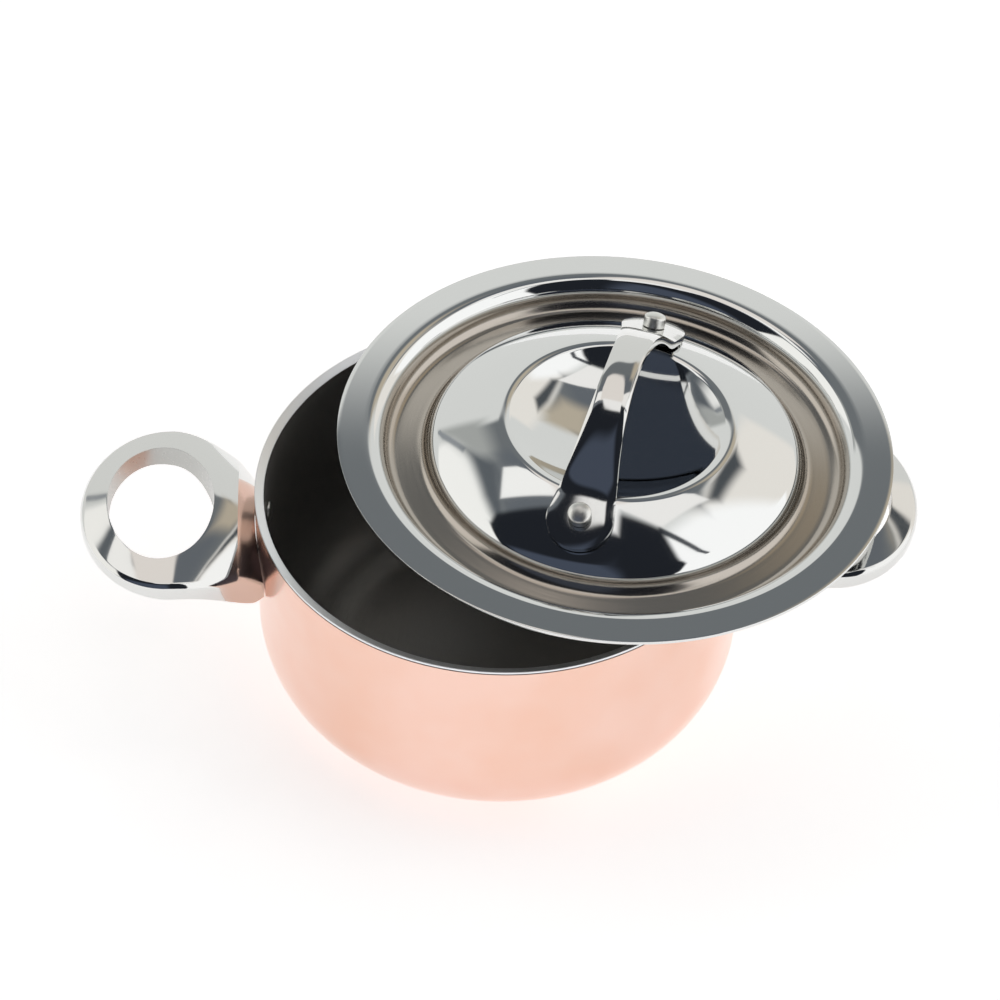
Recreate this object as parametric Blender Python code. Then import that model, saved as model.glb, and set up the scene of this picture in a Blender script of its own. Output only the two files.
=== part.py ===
"""Two-handled copper saucepan, 160 mm across the rim, with its pressed steel lid lying askew on it.

The pan is a copper body with a thin steel lining. Each cast ring handle is held by two rivets
whose heads show inside the pan. The lid is one steel pressing that carries a riveted strap.
Units are metres, +Z is up, the pan's base stands on Z = 0 and the handles lie along X.
"""
import math

import bmesh
import bpy
from mathutils import Matrix, Vector

# Gaps that the pieces keep from each other, and how far a cutting tool runs past what it cuts
FIT_GAP = 0.0003
HOLE_CLEARANCE = 0.0003
CUTTER_OVERSHOOT = 0.0030
MERGE_DISTANCE = 0.000001

# Pan body and lining
RIM_RADIUS = 0.0800
PAN_HEIGHT = 0.0829
CORNER_RADIUS = 0.0315
COPPER_WALL = 0.0019
LINING_WALL = 0.0008
LIP_THICKNESS = 0.0010
LIP_DROP = 0.0013

# Ring handle, seen from above: lengths out from the pan's wall, then widths across
HANDLE_LENGTH = 0.0566
RING_TIP_WIDTH = 0.0091
HOLE_SETBACK = 0.0131
RING_SETBACK = 0.0023
CREASE_SETBACK = 0.0055
RING_HALF_WIDTH = 0.0359
RING_SIDE_WIDTH = 0.0108
NECK_HALF_WIDTH = 0.0232

# Ring handle, seen from the side: depths below the rim
RING_TOP_DEPTH = 0.0025
RING_THICKNESS = 0.0097
RING_TIP_LIFT = 0.0028
RING_EDGE_DROP = 0.0036
NECK_EDGE_DROP = 0.0076
NECK_FLARE = 0.0155
FLARE_START_POWER = 2.4
FLARE_END_POWER = 1.35
CREASE_DROP = 0.0030
HANDLE_EDGE_RADIUS = 0.0018

# Rivets that hold each handle
HANDLE_RIVET_DEPTH = 0.0180
HANDLE_RIVET_SPREAD = 0.0174
HANDLE_RIVET_SHANK = 0.0032
HANDLE_RIVET_HEAD = 0.0070
HANDLE_RIVET_RISE = 0.0013
HANDLE_RIVET_RIM = 0.0004
HANDLE_RIVET_BITE = 0.0042

# Lid pressing: its play in the pan's mouth, widths, and heights from the top of its flange
LID_PLAY = 0.0003
LID_SHEET = 0.0012
FLANGE_WIDTH = 0.0095
FLANGE_BEND = 0.0058
GROOVE_DEPTH = 0.0089
GROOVE_BEND = 0.0020
DOME_FOOT_DEPTH = 0.0083
DOME_FOOT_BEND = 0.0015
DOME_EDGE_SETBACK = 0.0138
DOME_EDGE_BEND = 0.0040
CREST_RADIUS = 0.0372
CREST_HEIGHT = 0.0084
CREST_BEND = 0.0050

# Lid pressing: slopes in degrees, positive where the top falls outwards
DIMPLE_SLOPE = -30.0
DOME_TOP_SLOPE = 20.0
DOME_EDGE_SLOPE = 29.0
WALL_SLOPE = 80.0

# Strap riveted over the dimple
STRAP_THICKNESS = 0.0030
STRAP_WAIST = 0.0108
STRAP_LOBE_RADIUS = 0.0107
STRAP_SLOPE = math.radians(53.0)
STRAP_BEND = 0.0137
STRAP_FOOT_LENGTH = 0.0075
STRAP_EDGE_RADIUS = 0.0010
STRAP_AZIMUTH = math.radians(71.3)

# Rivets that hold the strap, set out from the crest
LID_RIVET_SETBACK = 0.0091
LID_RIVET_SHANK = 0.0040
LID_RIVET_HEAD = 0.0074
LID_RIVET_RISE = 0.0044
LID_RIVET_ROUNDING = 0.0010
LID_RIVET_TAIL = 0.0062
LID_RIVET_TAIL_RISE = 0.0014

# How the lid lies: pushed over towards the right handle and leaning a little that way
LID_SHIFT = 0.0396
LID_SHIFT_AZIMUTH = math.radians(18.1)
LID_TILT = math.radians(1.94)

# Facets
TURN_STEPS = 60
ARC_STEPS = 6
RING_STATIONS = 44
NECK_STATIONS = 8
CUTTER_STEPS = 24
RIVET_STEPS = 16
RIVET_DOME_STEPS = 3
STRAP_ARCH_STEPS = 8
STRAP_BEND_STEPS = 3
STRAP_SIDE_STEPS = 10
STRAP_LOBE_STEPS = 8


def clear_scene():
    """Remove whatever the startup file holds."""
    for obj in list(bpy.data.objects):
        bpy.data.objects.remove(obj, do_unlink=True)


def material(name, colour, metallic, roughness):
    """A plain principled material."""
    mat = bpy.data.materials.new(name)
    mat.use_nodes = True
    shader = mat.node_tree.nodes["Principled BSDF"]
    shader.inputs["Base Color"].default_value = (*colour, 1.0)
    shader.inputs["Metallic"].default_value = metallic
    shader.inputs["Roughness"].default_value = roughness
    return mat


def add_object(name, bm, mat, parent=None):
    """Finish a bmesh, give it its material and put it in the scene."""
    bmesh.ops.remove_doubles(bm, verts=bm.verts, dist=MERGE_DISTANCE)
    bmesh.ops.recalc_face_normals(bm, faces=bm.faces)
    mesh = bpy.data.meshes.new(name)
    bm.to_mesh(mesh)
    bm.free()
    mesh.shade_smooth()
    mesh.set_sharp_from_angle(angle=math.radians(35.0))
    obj = bpy.data.objects.new(name, mesh)
    bpy.context.collection.objects.link(obj)
    if mat is not None:
        mesh.materials.append(mat)
    if parent is not None:
        obj.parent = parent
    return obj


def add_cutter(target, name, bm, parent=None):
    """A hidden tool that a Boolean takes out of its target."""
    cutter = add_object(name, bm, None, parent)
    cutter.hide_render = True
    cutter.display_type = "WIRE"
    cut = target.modifiers.new(name, "BOOLEAN")
    cut.operation = "DIFFERENCE"
    cut.solver = "EXACT"
    cut.object = cutter
    return cutter


def arc(middle_r, middle_z, half_r, half_z, start, end, steps=ARC_STEPS):
    """Points of an elliptical arc from one angle to another, in degrees from the +R direction."""
    points = []
    for i in range(steps + 1):
        angle = math.radians(start + (end - start) * i / steps)
        points.append((middle_r + half_r * math.cos(angle), middle_z + half_z * math.sin(angle)))
    return points


def turned(profile, steps=TURN_STEPS):
    """Spin a chain of (radius, height) points about Z into a closed body."""
    bm = bmesh.new()
    verts = [bm.verts.new((r, 0.0, z)) for r, z in profile]
    edges = [bm.edges.new(pair) for pair in zip(verts, verts[1:])]
    if profile[0][0] > 0.0:
        edges.append(bm.edges.new((verts[-1], verts[0])))
    bmesh.ops.spin(bm, geom=verts + edges, axis=(0, 0, 1), cent=(0, 0, 0),
                   angle=math.tau, steps=steps, use_merge=True)
    bmesh.ops.remove_doubles(bm, verts=bm.verts, dist=MERGE_DISTANCE)
    return bm


def round_bar(radius, low, high, frame, steps=CUTTER_STEPS):
    """A cylinder along the frame's own Z, from low to high."""
    bm = bmesh.new()
    bmesh.ops.create_cone(bm, cap_ends=True, segments=steps, radius1=radius, radius2=radius,
                          depth=high - low, matrix=frame @ Matrix.Translation((0, 0, (low + high) / 2)))
    return bm


def offset_down(points, distance):
    """The same chain, moved down along its own normals by a distance."""
    moved = []
    for i, (r, z) in enumerate(points):
        before = points[max(i - 1, 0)]
        after = points[min(i + 1, len(points) - 1)]
        along = Vector((after[0] - before[0], after[1] - before[1])).normalized()
        if i == 0:
            along = Vector((1.0, 0.0))
        if i == len(points) - 1:
            along = Vector((1.0, 0.0))
        moved.append((r + along.y * distance, z - along.x * distance))
    return moved


def smoothstep(x):
    """Ease from 0 to 1 as x goes from 0 to 1."""
    x = min(max(x, 0.0), 1.0)
    return x * x * (3.0 - 2.0 * x)


# The pan's wall from outside in: copper, gap, lining
COPPER_INNER_RADIUS = RIM_RADIUS - COPPER_WALL
LINING_OUTER_RADIUS = COPPER_INNER_RADIUS - FIT_GAP
LINING_INNER_RADIUS = LINING_OUTER_RADIUS - LINING_WALL
CORNER_MIDDLE = RIM_RADIUS - CORNER_RADIUS
LIP_SLOPE = LIP_DROP / (RIM_RADIUS - LINING_INNER_RADIUS)


def lip_height(radius):
    """Height of the lip's sloping top at a radius."""
    return PAN_HEIGHT - LIP_SLOPE * (RIM_RADIUS - radius)


def corner(radius, floor):
    """The rounded corner of one layer, from its wall to its floor."""
    half_r = radius - CORNER_MIDDLE
    return arc(CORNER_MIDDLE, CORNER_RADIUS, half_r, CORNER_RADIUS - floor, 0, -90)


def make_copper_body(mat):
    """Copper shell: straight wall, wide rounded corner and flat base."""
    under_lip = LIP_THICKNESS + FIT_GAP
    outside = [(RIM_RADIUS, lip_height(RIM_RADIUS) - under_lip)] + corner(RIM_RADIUS, 0.0)
    inside = [(COPPER_INNER_RADIUS, lip_height(COPPER_INNER_RADIUS) - under_lip)]
    inside += corner(COPPER_INNER_RADIUS, COPPER_WALL)
    profile = [(0.0, COPPER_WALL)] + inside[::-1] + outside + [(0.0, 0.0)]
    return add_object("copper_body", turned(profile), mat)


def make_steel_lining(mat):
    """Steel lining whose lip turns out over the copper's edge and slopes inwards."""
    outer_floor = COPPER_WALL + FIT_GAP
    inner_floor = outer_floor + LINING_WALL
    inside = [(LINING_INNER_RADIUS, lip_height(LINING_INNER_RADIUS))]
    inside += corner(LINING_INNER_RADIUS, inner_floor)
    outside = [(LINING_OUTER_RADIUS, lip_height(LINING_OUTER_RADIUS) - LIP_THICKNESS)]
    outside += corner(LINING_OUTER_RADIUS, outer_floor)
    lip = [(RIM_RADIUS, PAN_HEIGHT), (RIM_RADIUS, PAN_HEIGHT - LIP_THICKNESS)]
    profile = [(0.0, inner_floor)] + inside[::-1] + lip + outside + [(0.0, outer_floor)]
    return add_object("steel_lining", turned(profile), mat)


# The handle's neck narrows from the ring to the wall along a parabola. Its raw end starts behind
# the chord that the wall makes across the neck, so that the hollowing leaves no flat there.
HANDLE_REACH = RIM_RADIUS + HANDLE_LENGTH
HOLE_HALF_LENGTH = (HANDLE_LENGTH - RING_TIP_WIDTH - HOLE_SETBACK) / 2
HOLE_HALF_WIDTH = RING_HALF_WIDTH - RING_SIDE_WIDTH
HOLE_MIDDLE = RIM_RADIUS + HOLE_SETBACK + HOLE_HALF_LENGTH
RING_MIDDLE = HOLE_MIDDLE - RING_SETBACK
CREASE_DISTANCE = RIM_RADIUS + CREASE_SETBACK
NECK_LENGTH = RING_MIDDLE - RIM_RADIUS
HANDLE_SEAT_RADIUS = RIM_RADIUS + FIT_GAP
HANDLE_ROOT = math.sqrt(RIM_RADIUS ** 2 - NECK_HALF_WIDTH ** 2) - 2 * FIT_GAP


def neck_half_width(distance):
    """Half width of the neck at a distance from the pan's axis."""
    back = (RING_MIDDLE - distance) / NECK_LENGTH
    return RING_HALF_WIDTH - (RING_HALF_WIDTH - NECK_HALF_WIDTH) * back * back


def handle_outline():
    """Points round the handle from above: across its root, along one side, round the ring and back."""
    root_half = neck_half_width(HANDLE_ROOT)
    root = []
    side = []
    for i in range(NECK_STATIONS):
        share = i / NECK_STATIONS
        distance = HANDLE_ROOT + (RING_MIDDLE - HANDLE_ROOT) * share
        root.append((HANDLE_ROOT, root_half * (1.0 - 2.0 * share)))
        side.append((distance, -neck_half_width(distance)))
    ring_steps = RING_STATIONS - 2 * NECK_STATIONS
    ring = arc(RING_MIDDLE, 0.0, HANDLE_REACH - RING_MIDDLE, RING_HALF_WIDTH, -90, 90, ring_steps)
    other_side = [(x, -y) for x, y in side[:0:-1]]
    return root + side + ring + other_side


def handle_top(distance, across):
    """Height of the handle's crowned top."""
    back = (RING_MIDDLE - distance) / (RING_MIDDLE - CREASE_DISTANCE)
    drop = RING_EDGE_DROP + (NECK_EDGE_DROP - RING_EDGE_DROP) * smoothstep(back)
    half = RING_HALF_WIDTH
    if distance < RING_MIDDLE:
        half = neck_half_width(distance)
    return PAN_HEIGHT - RING_TOP_DEPTH - drop * (across / half) ** 2


def handle_bottom(distance):
    """Height of the handle's underside, which sweeps down to the wall as a flange."""
    back = max((RING_MIDDLE - distance) / NECK_LENGTH, 0.0)
    flare = 1.0 - (1.0 - min(back, 1.0) ** FLARE_START_POWER) ** FLARE_END_POWER
    ahead = max((distance - RING_MIDDLE) / (HANDLE_REACH - RING_MIDDLE), 0.0)
    level = PAN_HEIGHT - RING_TOP_DEPTH - RING_THICKNESS
    return level - NECK_FLARE * flare + RING_TIP_LIFT * ahead


def handle_mesh():
    """The handle as a section swept round its ring hole, along +X from the pan's axis."""
    bm = bmesh.new()
    shares = (0.0, 0.25, 0.5, 0.75, 1.0)
    loops = []
    for x, y in handle_outline():
        turn = math.atan2(y / HOLE_HALF_WIDTH, (x - HOLE_MIDDLE) / HOLE_HALF_LENGTH)
        hole_x = HOLE_MIDDLE + HOLE_HALF_LENGTH * math.cos(turn)
        hole_y = HOLE_HALF_WIDTH * math.sin(turn)
        flat = [(hole_x + (x - hole_x) * s, hole_y + (y - hole_y) * s) for s in shares]
        top = [bm.verts.new((u, v, handle_top(u, v))) for u, v in flat]
        bottom = [bm.verts.new((u, v, handle_bottom(u))) for u, v in reversed(flat)]
        loops.append(top + bottom)
    count = len(loops[0])
    for i, loop in enumerate(loops):
        after = loops[(i + 1) % len(loops)]
        for k in range(count):
            m = (k + 1) % count
            bm.faces.new((loop[k], loop[m], after[m], after[k]))
    cut_crease(bm)
    round_handle_edges(bm)
    return bm


def cut_crease(bm):
    """Score the top across the neck and let it fall from there towards the wall."""
    bmesh.ops.bisect_plane(bm, geom=bm.verts[:] + bm.edges[:] + bm.faces[:], dist=MERGE_DISTANCE,
                           plane_co=(CREASE_DISTANCE, 0, 0), plane_no=(1, 0, 0))
    for vert in bm.verts:
        past = (CREASE_DISTANCE - vert.co.x) / (CREASE_DISTANCE - RIM_RADIUS)
        if past <= 0.0:
            continue
        low = handle_bottom(vert.co.x)
        share = (vert.co.z - low) / (handle_top(vert.co.x, vert.co.y) - low)
        vert.co.z -= CREASE_DROP * past * share


def round_handle_edges(bm):
    """Round the long edges of the outline and of the ring hole."""
    bm.normal_update()
    bmesh.ops.recalc_face_normals(bm, faces=bm.faces)
    edges = []
    for edge in bm.edges:
        at_root = all(v.co.x < HANDLE_ROOT + FIT_GAP for v in edge.verts)
        if not at_root and edge.calc_face_angle(0.0) > math.radians(50.0):
            edges.append(edge)
    bmesh.ops.bevel(bm, geom=edges, offset=HANDLE_EDGE_RADIUS, offset_type="OFFSET", segments=3,
                    profile=0.5, affect="EDGES", clamp_overlap=True, material=-1)


def handle_rivet_frame(side, end):
    """Frame of one handle rivet: its Z points from the pan's axis out through the wall."""
    spread = end * math.asin(HANDLE_RIVET_SPREAD / 2 / RIM_RADIUS)
    azimuth = spread if side == "right" else math.pi + spread
    level = Matrix.Translation((0, 0, PAN_HEIGHT - HANDLE_RIVET_DEPTH))
    return level @ Matrix.Rotation(azimuth, 4, "Z") @ Matrix.Rotation(math.radians(90.0), 4, "Y")


def make_handle(side, mat):
    """One cast ring handle, hollowed at its root to hug the wall."""
    bm = handle_mesh()
    if side == "left":
        bmesh.ops.rotate(bm, cent=(0, 0, 0), matrix=Matrix.Rotation(math.pi, 3, "Z"), verts=bm.verts)
    handle = add_object(side + "_handle", bm, mat)
    top = PAN_HEIGHT + CUTTER_OVERSHOOT
    wall = round_bar(HANDLE_SEAT_RADIUS, 0.0, top, Matrix.Identity(4), 2 * TURN_STEPS)
    add_cutter(handle, side + "_wall_cutter", wall)
    return handle


def handle_rivet_profile():
    """Domed head inside the pan and a plain shank into the handle, along the radius."""
    seat = LINING_INNER_RADIUS - FIT_GAP - HANDLE_RIVET_HEAD ** 2 / 8 / LINING_INNER_RADIUS
    tip = HANDLE_SEAT_RADIUS + HANDLE_RIVET_BITE
    head = HANDLE_RIVET_HEAD / 2
    shank = HANDLE_RIVET_SHANK / 2
    rise = HANDLE_RIVET_RISE - HANDLE_RIVET_RIM
    dome = arc(0.0, seat - HANDLE_RIVET_RIM, head, rise, -90, 0, RIVET_DOME_STEPS)
    dome[0] = (0.0, dome[0][1])
    return dome + [(head, seat), (shank, seat), (shank, tip), (0.0, tip)]


def make_handle_rivets(side, handle, body, lining, mat):
    """Two rivets of one handle, and their holes through lining, copper and into the handle."""
    hole = HANDLE_RIVET_SHANK / 2 + HOLE_CLEARANCE
    for end, label in ((-1, "front"), (1, "back")):
        turn = -end if side == "left" else end
        frame = handle_rivet_frame(side, turn)
        name = f"{side}_handle_rivet_{label}"
        bm = turned(handle_rivet_profile(), RIVET_STEPS)
        bmesh.ops.transform(bm, matrix=frame, verts=bm.verts)
        add_object(name, bm, mat)
        through = (LINING_INNER_RADIUS - CUTTER_OVERSHOOT, RIM_RADIUS + CUTTER_OVERSHOOT)
        blind = (RIM_RADIUS - CUTTER_OVERSHOOT, HANDLE_SEAT_RADIUS + HANDLE_RIVET_BITE + FIT_GAP)
        add_cutter(lining, name + "_lining_hole", round_bar(hole, *through, frame))
        add_cutter(body, name + "_copper_hole", round_bar(hole, *through, frame))
        add_cutter(handle, name + "_handle_hole", round_bar(hole, *blind, frame))


# The lid's radii from the outside in: the groove's wall fits the pan's mouth, and the rest follows
WALL_RUN = math.sin(math.radians(WALL_SLOPE))
WALL_RISE = 1.0 - math.cos(math.radians(WALL_SLOPE))
FLANGE_INNER_RADIUS = LINING_INNER_RADIUS - LID_PLAY + (FLANGE_BEND - LID_SHEET) * WALL_RUN
LID_RADIUS = FLANGE_INNER_RADIUS + FLANGE_WIDTH
GROOVE_WALL_HEIGHT = GROOVE_DEPTH - (FLANGE_BEND + GROOVE_BEND) * WALL_RISE
GROOVE_WALL_LEAN = GROOVE_WALL_HEIGHT / math.tan(math.radians(WALL_SLOPE))
GROOVE_RADIUS = FLANGE_INNER_RADIUS - (FLANGE_BEND + GROOVE_BEND) * WALL_RUN - GROOVE_WALL_LEAN
DOME_EDGE_RADIUS = GROOVE_RADIUS - DOME_EDGE_SETBACK
LID_RIVET_RADIUS = CREST_RADIUS + LID_RIVET_SETBACK

# Radii of the two long curves between the bends
DIMPLE_BOWL = CREST_RADIUS / -math.sin(math.radians(DIMPLE_SLOPE)) - CREST_BEND
DOME_START = CREST_RADIUS + CREST_BEND * math.sin(math.radians(DOME_TOP_SLOPE))
DOME_TURN = math.sin(math.radians(DOME_EDGE_SLOPE)) - math.sin(math.radians(DOME_TOP_SLOPE))
DOME_CURVE = (DOME_EDGE_RADIUS - DOME_START) / DOME_TURN


def bend_on(chain, radius, start, end, steps):
    """Carry a chain of (radius, height) points on round a bend, from one slope to another."""
    side = radius if end > start else -radius
    r, z = chain[-1]
    first = math.radians(start)
    for i in range(1, steps + 1):
        now = math.radians(start + (end - start) * i / steps)
        out = side * (math.sin(now) - math.sin(first))
        down = side * (math.cos(first) - math.cos(now))
        chain.append((r + out, z - down))


def lid_top_profile():
    """The lid's upper face from its axis out: dimple, crest, dome, groove and flange."""
    edge = math.cos(math.radians(DIMPLE_SLOPE))
    middle = CREST_HEIGHT - (CREST_BEND + DIMPLE_BOWL) * (1.0 - edge)
    chain = [(0.0, middle)]
    bend_on(chain, DIMPLE_BOWL, 0.0, DIMPLE_SLOPE, 4)
    bend_on(chain, CREST_BEND, DIMPLE_SLOPE, DOME_TOP_SLOPE, 3)
    bend_on(chain, DOME_CURVE, DOME_TOP_SLOPE, DOME_EDGE_SLOPE, 3)
    bend_on(chain, DOME_EDGE_BEND, DOME_EDGE_SLOPE, WALL_SLOPE, 3)
    foot_z = DOME_FOOT_BEND * WALL_RISE - DOME_FOOT_DEPTH
    r, z = chain[-1]
    chain.append((r + (z - foot_z) / math.tan(math.radians(WALL_SLOPE)), foot_z))
    bend_on(chain, DOME_FOOT_BEND, WALL_SLOPE, 0.0, 2)
    chain.append((GROOVE_RADIUS, -GROOVE_DEPTH))
    bend_on(chain, GROOVE_BEND, 0.0, -WALL_SLOPE, 3)
    chain.append((FLANGE_INNER_RADIUS - FLANGE_BEND * WALL_RUN, -FLANGE_BEND * WALL_RISE))
    bend_on(chain, FLANGE_BEND, -WALL_SLOPE, 0.0, 4)
    return chain + [(LID_RADIUS, 0.0)]


def dome_point(radius):
    """Height and outward slope of the dome's upper face at a radius."""
    start = math.radians(DOME_TOP_SLOPE)
    slope = math.asin(math.sin(start) + (radius - DOME_START) / DOME_CURVE)
    top = CREST_HEIGHT - CREST_BEND * (1.0 - math.cos(start))
    return top - DOME_CURVE * (math.cos(start) - math.cos(slope)), slope


def make_lid_plate(mat, parent):
    """The pressed lid: one sheet of even thickness."""
    top = lid_top_profile()
    under = offset_down(top, LID_SHEET)
    return add_object("lid_plate", turned(top + under[::-1]), mat, parent)


def lid_rivet_frame(end):
    """Frame of one strap rivet: its Z stands square on the dome, at the dome's upper face."""
    height, slope = dome_point(LID_RIVET_RADIUS)
    azimuth = STRAP_AZIMUTH if end == "back" else STRAP_AZIMUTH + math.pi
    place = Matrix.Translation((LID_RIVET_RADIUS, 0, height))
    return Matrix.Rotation(azimuth, 4, "Z") @ place @ Matrix.Rotation(slope, 4, "Y")


def strap_line():
    """The strap's middle line as (arc length, distance, height, slope), from its top to past a rivet."""
    height, foot_slope = dome_point(LID_RIVET_RADIUS)
    lift = FIT_GAP + STRAP_THICKNESS / 2
    rivet_s = LID_RIVET_RADIUS + math.sin(foot_slope) * lift
    rivet_z = height + math.cos(foot_slope) * lift
    bend_run = STRAP_BEND * (math.sin(STRAP_SLOPE) - math.sin(foot_slope))
    arch = (rivet_s - STRAP_FOOT_LENGTH * math.cos(foot_slope) - bend_run) / math.sin(STRAP_SLOPE)
    top_z = rivet_z + arch * (1 - math.cos(STRAP_SLOPE))
    top_z += STRAP_BEND * (math.cos(foot_slope) - math.cos(STRAP_SLOPE))
    top_z += STRAP_FOOT_LENGTH * math.sin(foot_slope)
    line = []
    for i in range(STRAP_ARCH_STEPS + 1):
        angle = STRAP_SLOPE * i / STRAP_ARCH_STEPS
        fall = arch * (1 - math.cos(angle))
        line.append((arch * angle, arch * math.sin(angle), top_z - fall, angle))
    length, s, z, angle = line[-1]
    turn = STRAP_SLOPE - foot_slope
    for i in range(1, STRAP_BEND_STEPS + 1):
        turned_by = turn * i / STRAP_BEND_STEPS
        now = STRAP_SLOPE - turned_by
        run = STRAP_BEND * (math.sin(STRAP_SLOPE) - math.sin(now))
        fall = STRAP_BEND * (math.cos(now) - math.cos(STRAP_SLOPE))
        line.append((length + STRAP_BEND * turned_by, s + run, z - fall, now))
    return line, line[-1][0] + STRAP_FOOT_LENGTH


def strap_point(line, length):
    """A point of the middle line at an arc length, straight on past its last bend."""
    for a, b in zip(line, line[1:]):
        if length <= b[0]:
            share = (length - a[0]) / (b[0] - a[0])
            return tuple(a[k] + (b[k] - a[k]) * share for k in (1, 2, 3))
    last = line[-1]
    past = length - last[0]
    return last[1] + past * math.cos(last[3]), last[2] - past * math.sin(last[3]), last[3]


def strap_half_outline(rivet_length):
    """Half width of the strap along its length: a waist that widens into a round lobe."""
    waist = STRAP_WAIST / 2
    lean = 0.2
    for _ in range(12):
        end = rivet_length - STRAP_LOBE_RADIUS * math.sin(lean)
        lean = math.atan(2 * (STRAP_LOBE_RADIUS * math.cos(lean) - waist) / end)
    growth = (STRAP_LOBE_RADIUS * math.cos(lean) - waist) / end ** 2
    outline = []
    for i in range(STRAP_SIDE_STEPS):
        length = end * i / STRAP_SIDE_STEPS
        outline.append((length, waist + growth * length ** 2))
    for i in range(STRAP_LOBE_STEPS + 1):
        angle = -lean + (math.pi / 2 + lean) * i / STRAP_LOBE_STEPS
        past = STRAP_LOBE_RADIUS * math.sin(angle)
        outline.append((rivet_length + past, STRAP_LOBE_RADIUS * math.cos(angle)))
    return outline


def strap_mesh():
    """The strap as a flat outline bent along its middle line."""
    line, rivet_length = strap_line()
    half = strap_half_outline(rivet_length)
    rows = [(-length, width) for length, width in half[:0:-1]] + half
    bm = bmesh.new()
    faces_above = []
    faces_below = []
    for length, width in rows:
        s, z, slope = strap_point(line, abs(length))
        sign = 1 if length >= 0 else -1
        out = Vector((math.sin(slope) * sign, 0, math.cos(slope))) * STRAP_THICKNESS / 2
        middle = Vector((s * sign, 0, z))
        across = [-width, 0.0, width] if width > MERGE_DISTANCE else [0.0]
        faces_above.append([bm.verts.new(middle + out + Vector((0, y, 0))) for y in across])
        faces_below.append([bm.verts.new(middle - out + Vector((0, y, 0))) for y in across])
    stitch_rows(bm, faces_above, faces_below)
    edges = [e for e in bm.edges if e.calc_face_angle(0.0) > math.radians(60.0)]
    bmesh.ops.bevel(bm, geom=edges, offset=STRAP_EDGE_RADIUS, offset_type="OFFSET", segments=2,
                    profile=0.5, affect="EDGES", clamp_overlap=True, material=-1)
    bmesh.ops.rotate(bm, cent=(0, 0, 0), matrix=Matrix.Rotation(STRAP_AZIMUTH, 3, "Z"), verts=bm.verts)
    return bm


def stitch_rows(bm, above, below):
    """Faces between neighbouring rows, over the top, underneath and along both sides."""
    for i in range(len(above) - 1):
        for rows, flip in ((above, False), (below, True)):
            here, there = rows[i], rows[i + 1]
            if len(here) == 1 or len(there) == 1:
                tip, wide = (here[0], there) if len(here) == 1 else (there[0], here)
                for a, b in zip(wide, wide[1:]):
                    bm.faces.new((tip, b, a) if (len(here) == 1) != flip else (tip, a, b))
                continue
            for k in range(2):
                quad = [here[k], there[k], there[k + 1], here[k + 1]]
                bm.faces.new(quad if flip else quad[::-1])
        for edge in (0, -1):
            bm.faces.new((above[i][edge], above[i + 1][edge], below[i + 1][edge], below[i][edge]))
    bm.normal_update()
    bmesh.ops.recalc_face_normals(bm, faces=bm.faces)


def lid_rivet_profile():
    """Tall round head over the strap, shank through both sheets, flat tail under the lid."""
    seat = FIT_GAP + STRAP_THICKNESS + FIT_GAP
    tail_sag = LID_RIVET_TAIL ** 2 / 8 / LID_RIVET_RADIUS
    tail_top = -LID_SHEET - FIT_GAP - tail_sag
    head = LID_RIVET_HEAD / 2
    shank = LID_RIVET_SHANK / 2
    tail = LID_RIVET_TAIL / 2
    side_top = seat + LID_RIVET_RISE - LID_RIVET_ROUNDING
    crown = arc(head - LID_RIVET_ROUNDING, side_top, LID_RIVET_ROUNDING, LID_RIVET_ROUNDING,
                90, 0, RIVET_DOME_STEPS)
    foot = arc(tail - LID_RIVET_TAIL_RISE, tail_top, LID_RIVET_TAIL_RISE, LID_RIVET_TAIL_RISE,
               0, -90, RIVET_DOME_STEPS)
    middle = [(head, seat), (shank, seat), (shank, tail_top)]
    return [(0.0, crown[0][1])] + crown + middle + foot + [(0.0, foot[-1][1])]


def make_lid(steel, polished):
    """The lid with its strap and rivets, all carried by one empty that lies as the lid does."""
    pose = bpy.data.objects.new("lid_pose", None)
    bpy.context.collection.objects.link(pose)
    pose.matrix_world = lid_frame()
    plate = make_lid_plate(steel, pose)
    strap = add_object("lid_strap", strap_mesh(), polished, pose)
    hole = LID_RIVET_SHANK / 2 + HOLE_CLEARANCE
    for end in ("front", "back"):
        frame = lid_rivet_frame(end)
        bm = turned(lid_rivet_profile(), RIVET_STEPS)
        bmesh.ops.transform(bm, matrix=frame, verts=bm.verts)
        add_object("lid_rivet_" + end, bm, polished, pose)
        add_cutter(plate, end + "_plate_hole", round_bar(hole, -0.006, 0.002, frame), pose)
        add_cutter(strap, end + "_strap_hole", round_bar(hole, -0.002, 0.008, frame), pose)
    return pose


def lid_frame():
    """Where the lid lies: the underside of its groove rests on the rim."""
    chord = (LID_SHIFT ** 2 + RIM_RADIUS ** 2 - GROOVE_RADIUS ** 2) / (2 * LID_SHIFT)
    past_chord = LID_SHIFT - chord
    height = PAN_HEIGHT + FIT_GAP + (GROOVE_DEPTH + LID_SHEET) * math.cos(LID_TILT)
    height -= past_chord * math.tan(LID_TILT)
    place = Matrix.Translation((LID_SHIFT * math.cos(LID_SHIFT_AZIMUTH),
                                LID_SHIFT * math.sin(LID_SHIFT_AZIMUTH), height))
    axis = Vector((-math.sin(LID_SHIFT_AZIMUTH), math.cos(LID_SHIFT_AZIMUTH), 0))
    return place @ Matrix.Rotation(LID_TILT, 4, axis)


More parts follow.
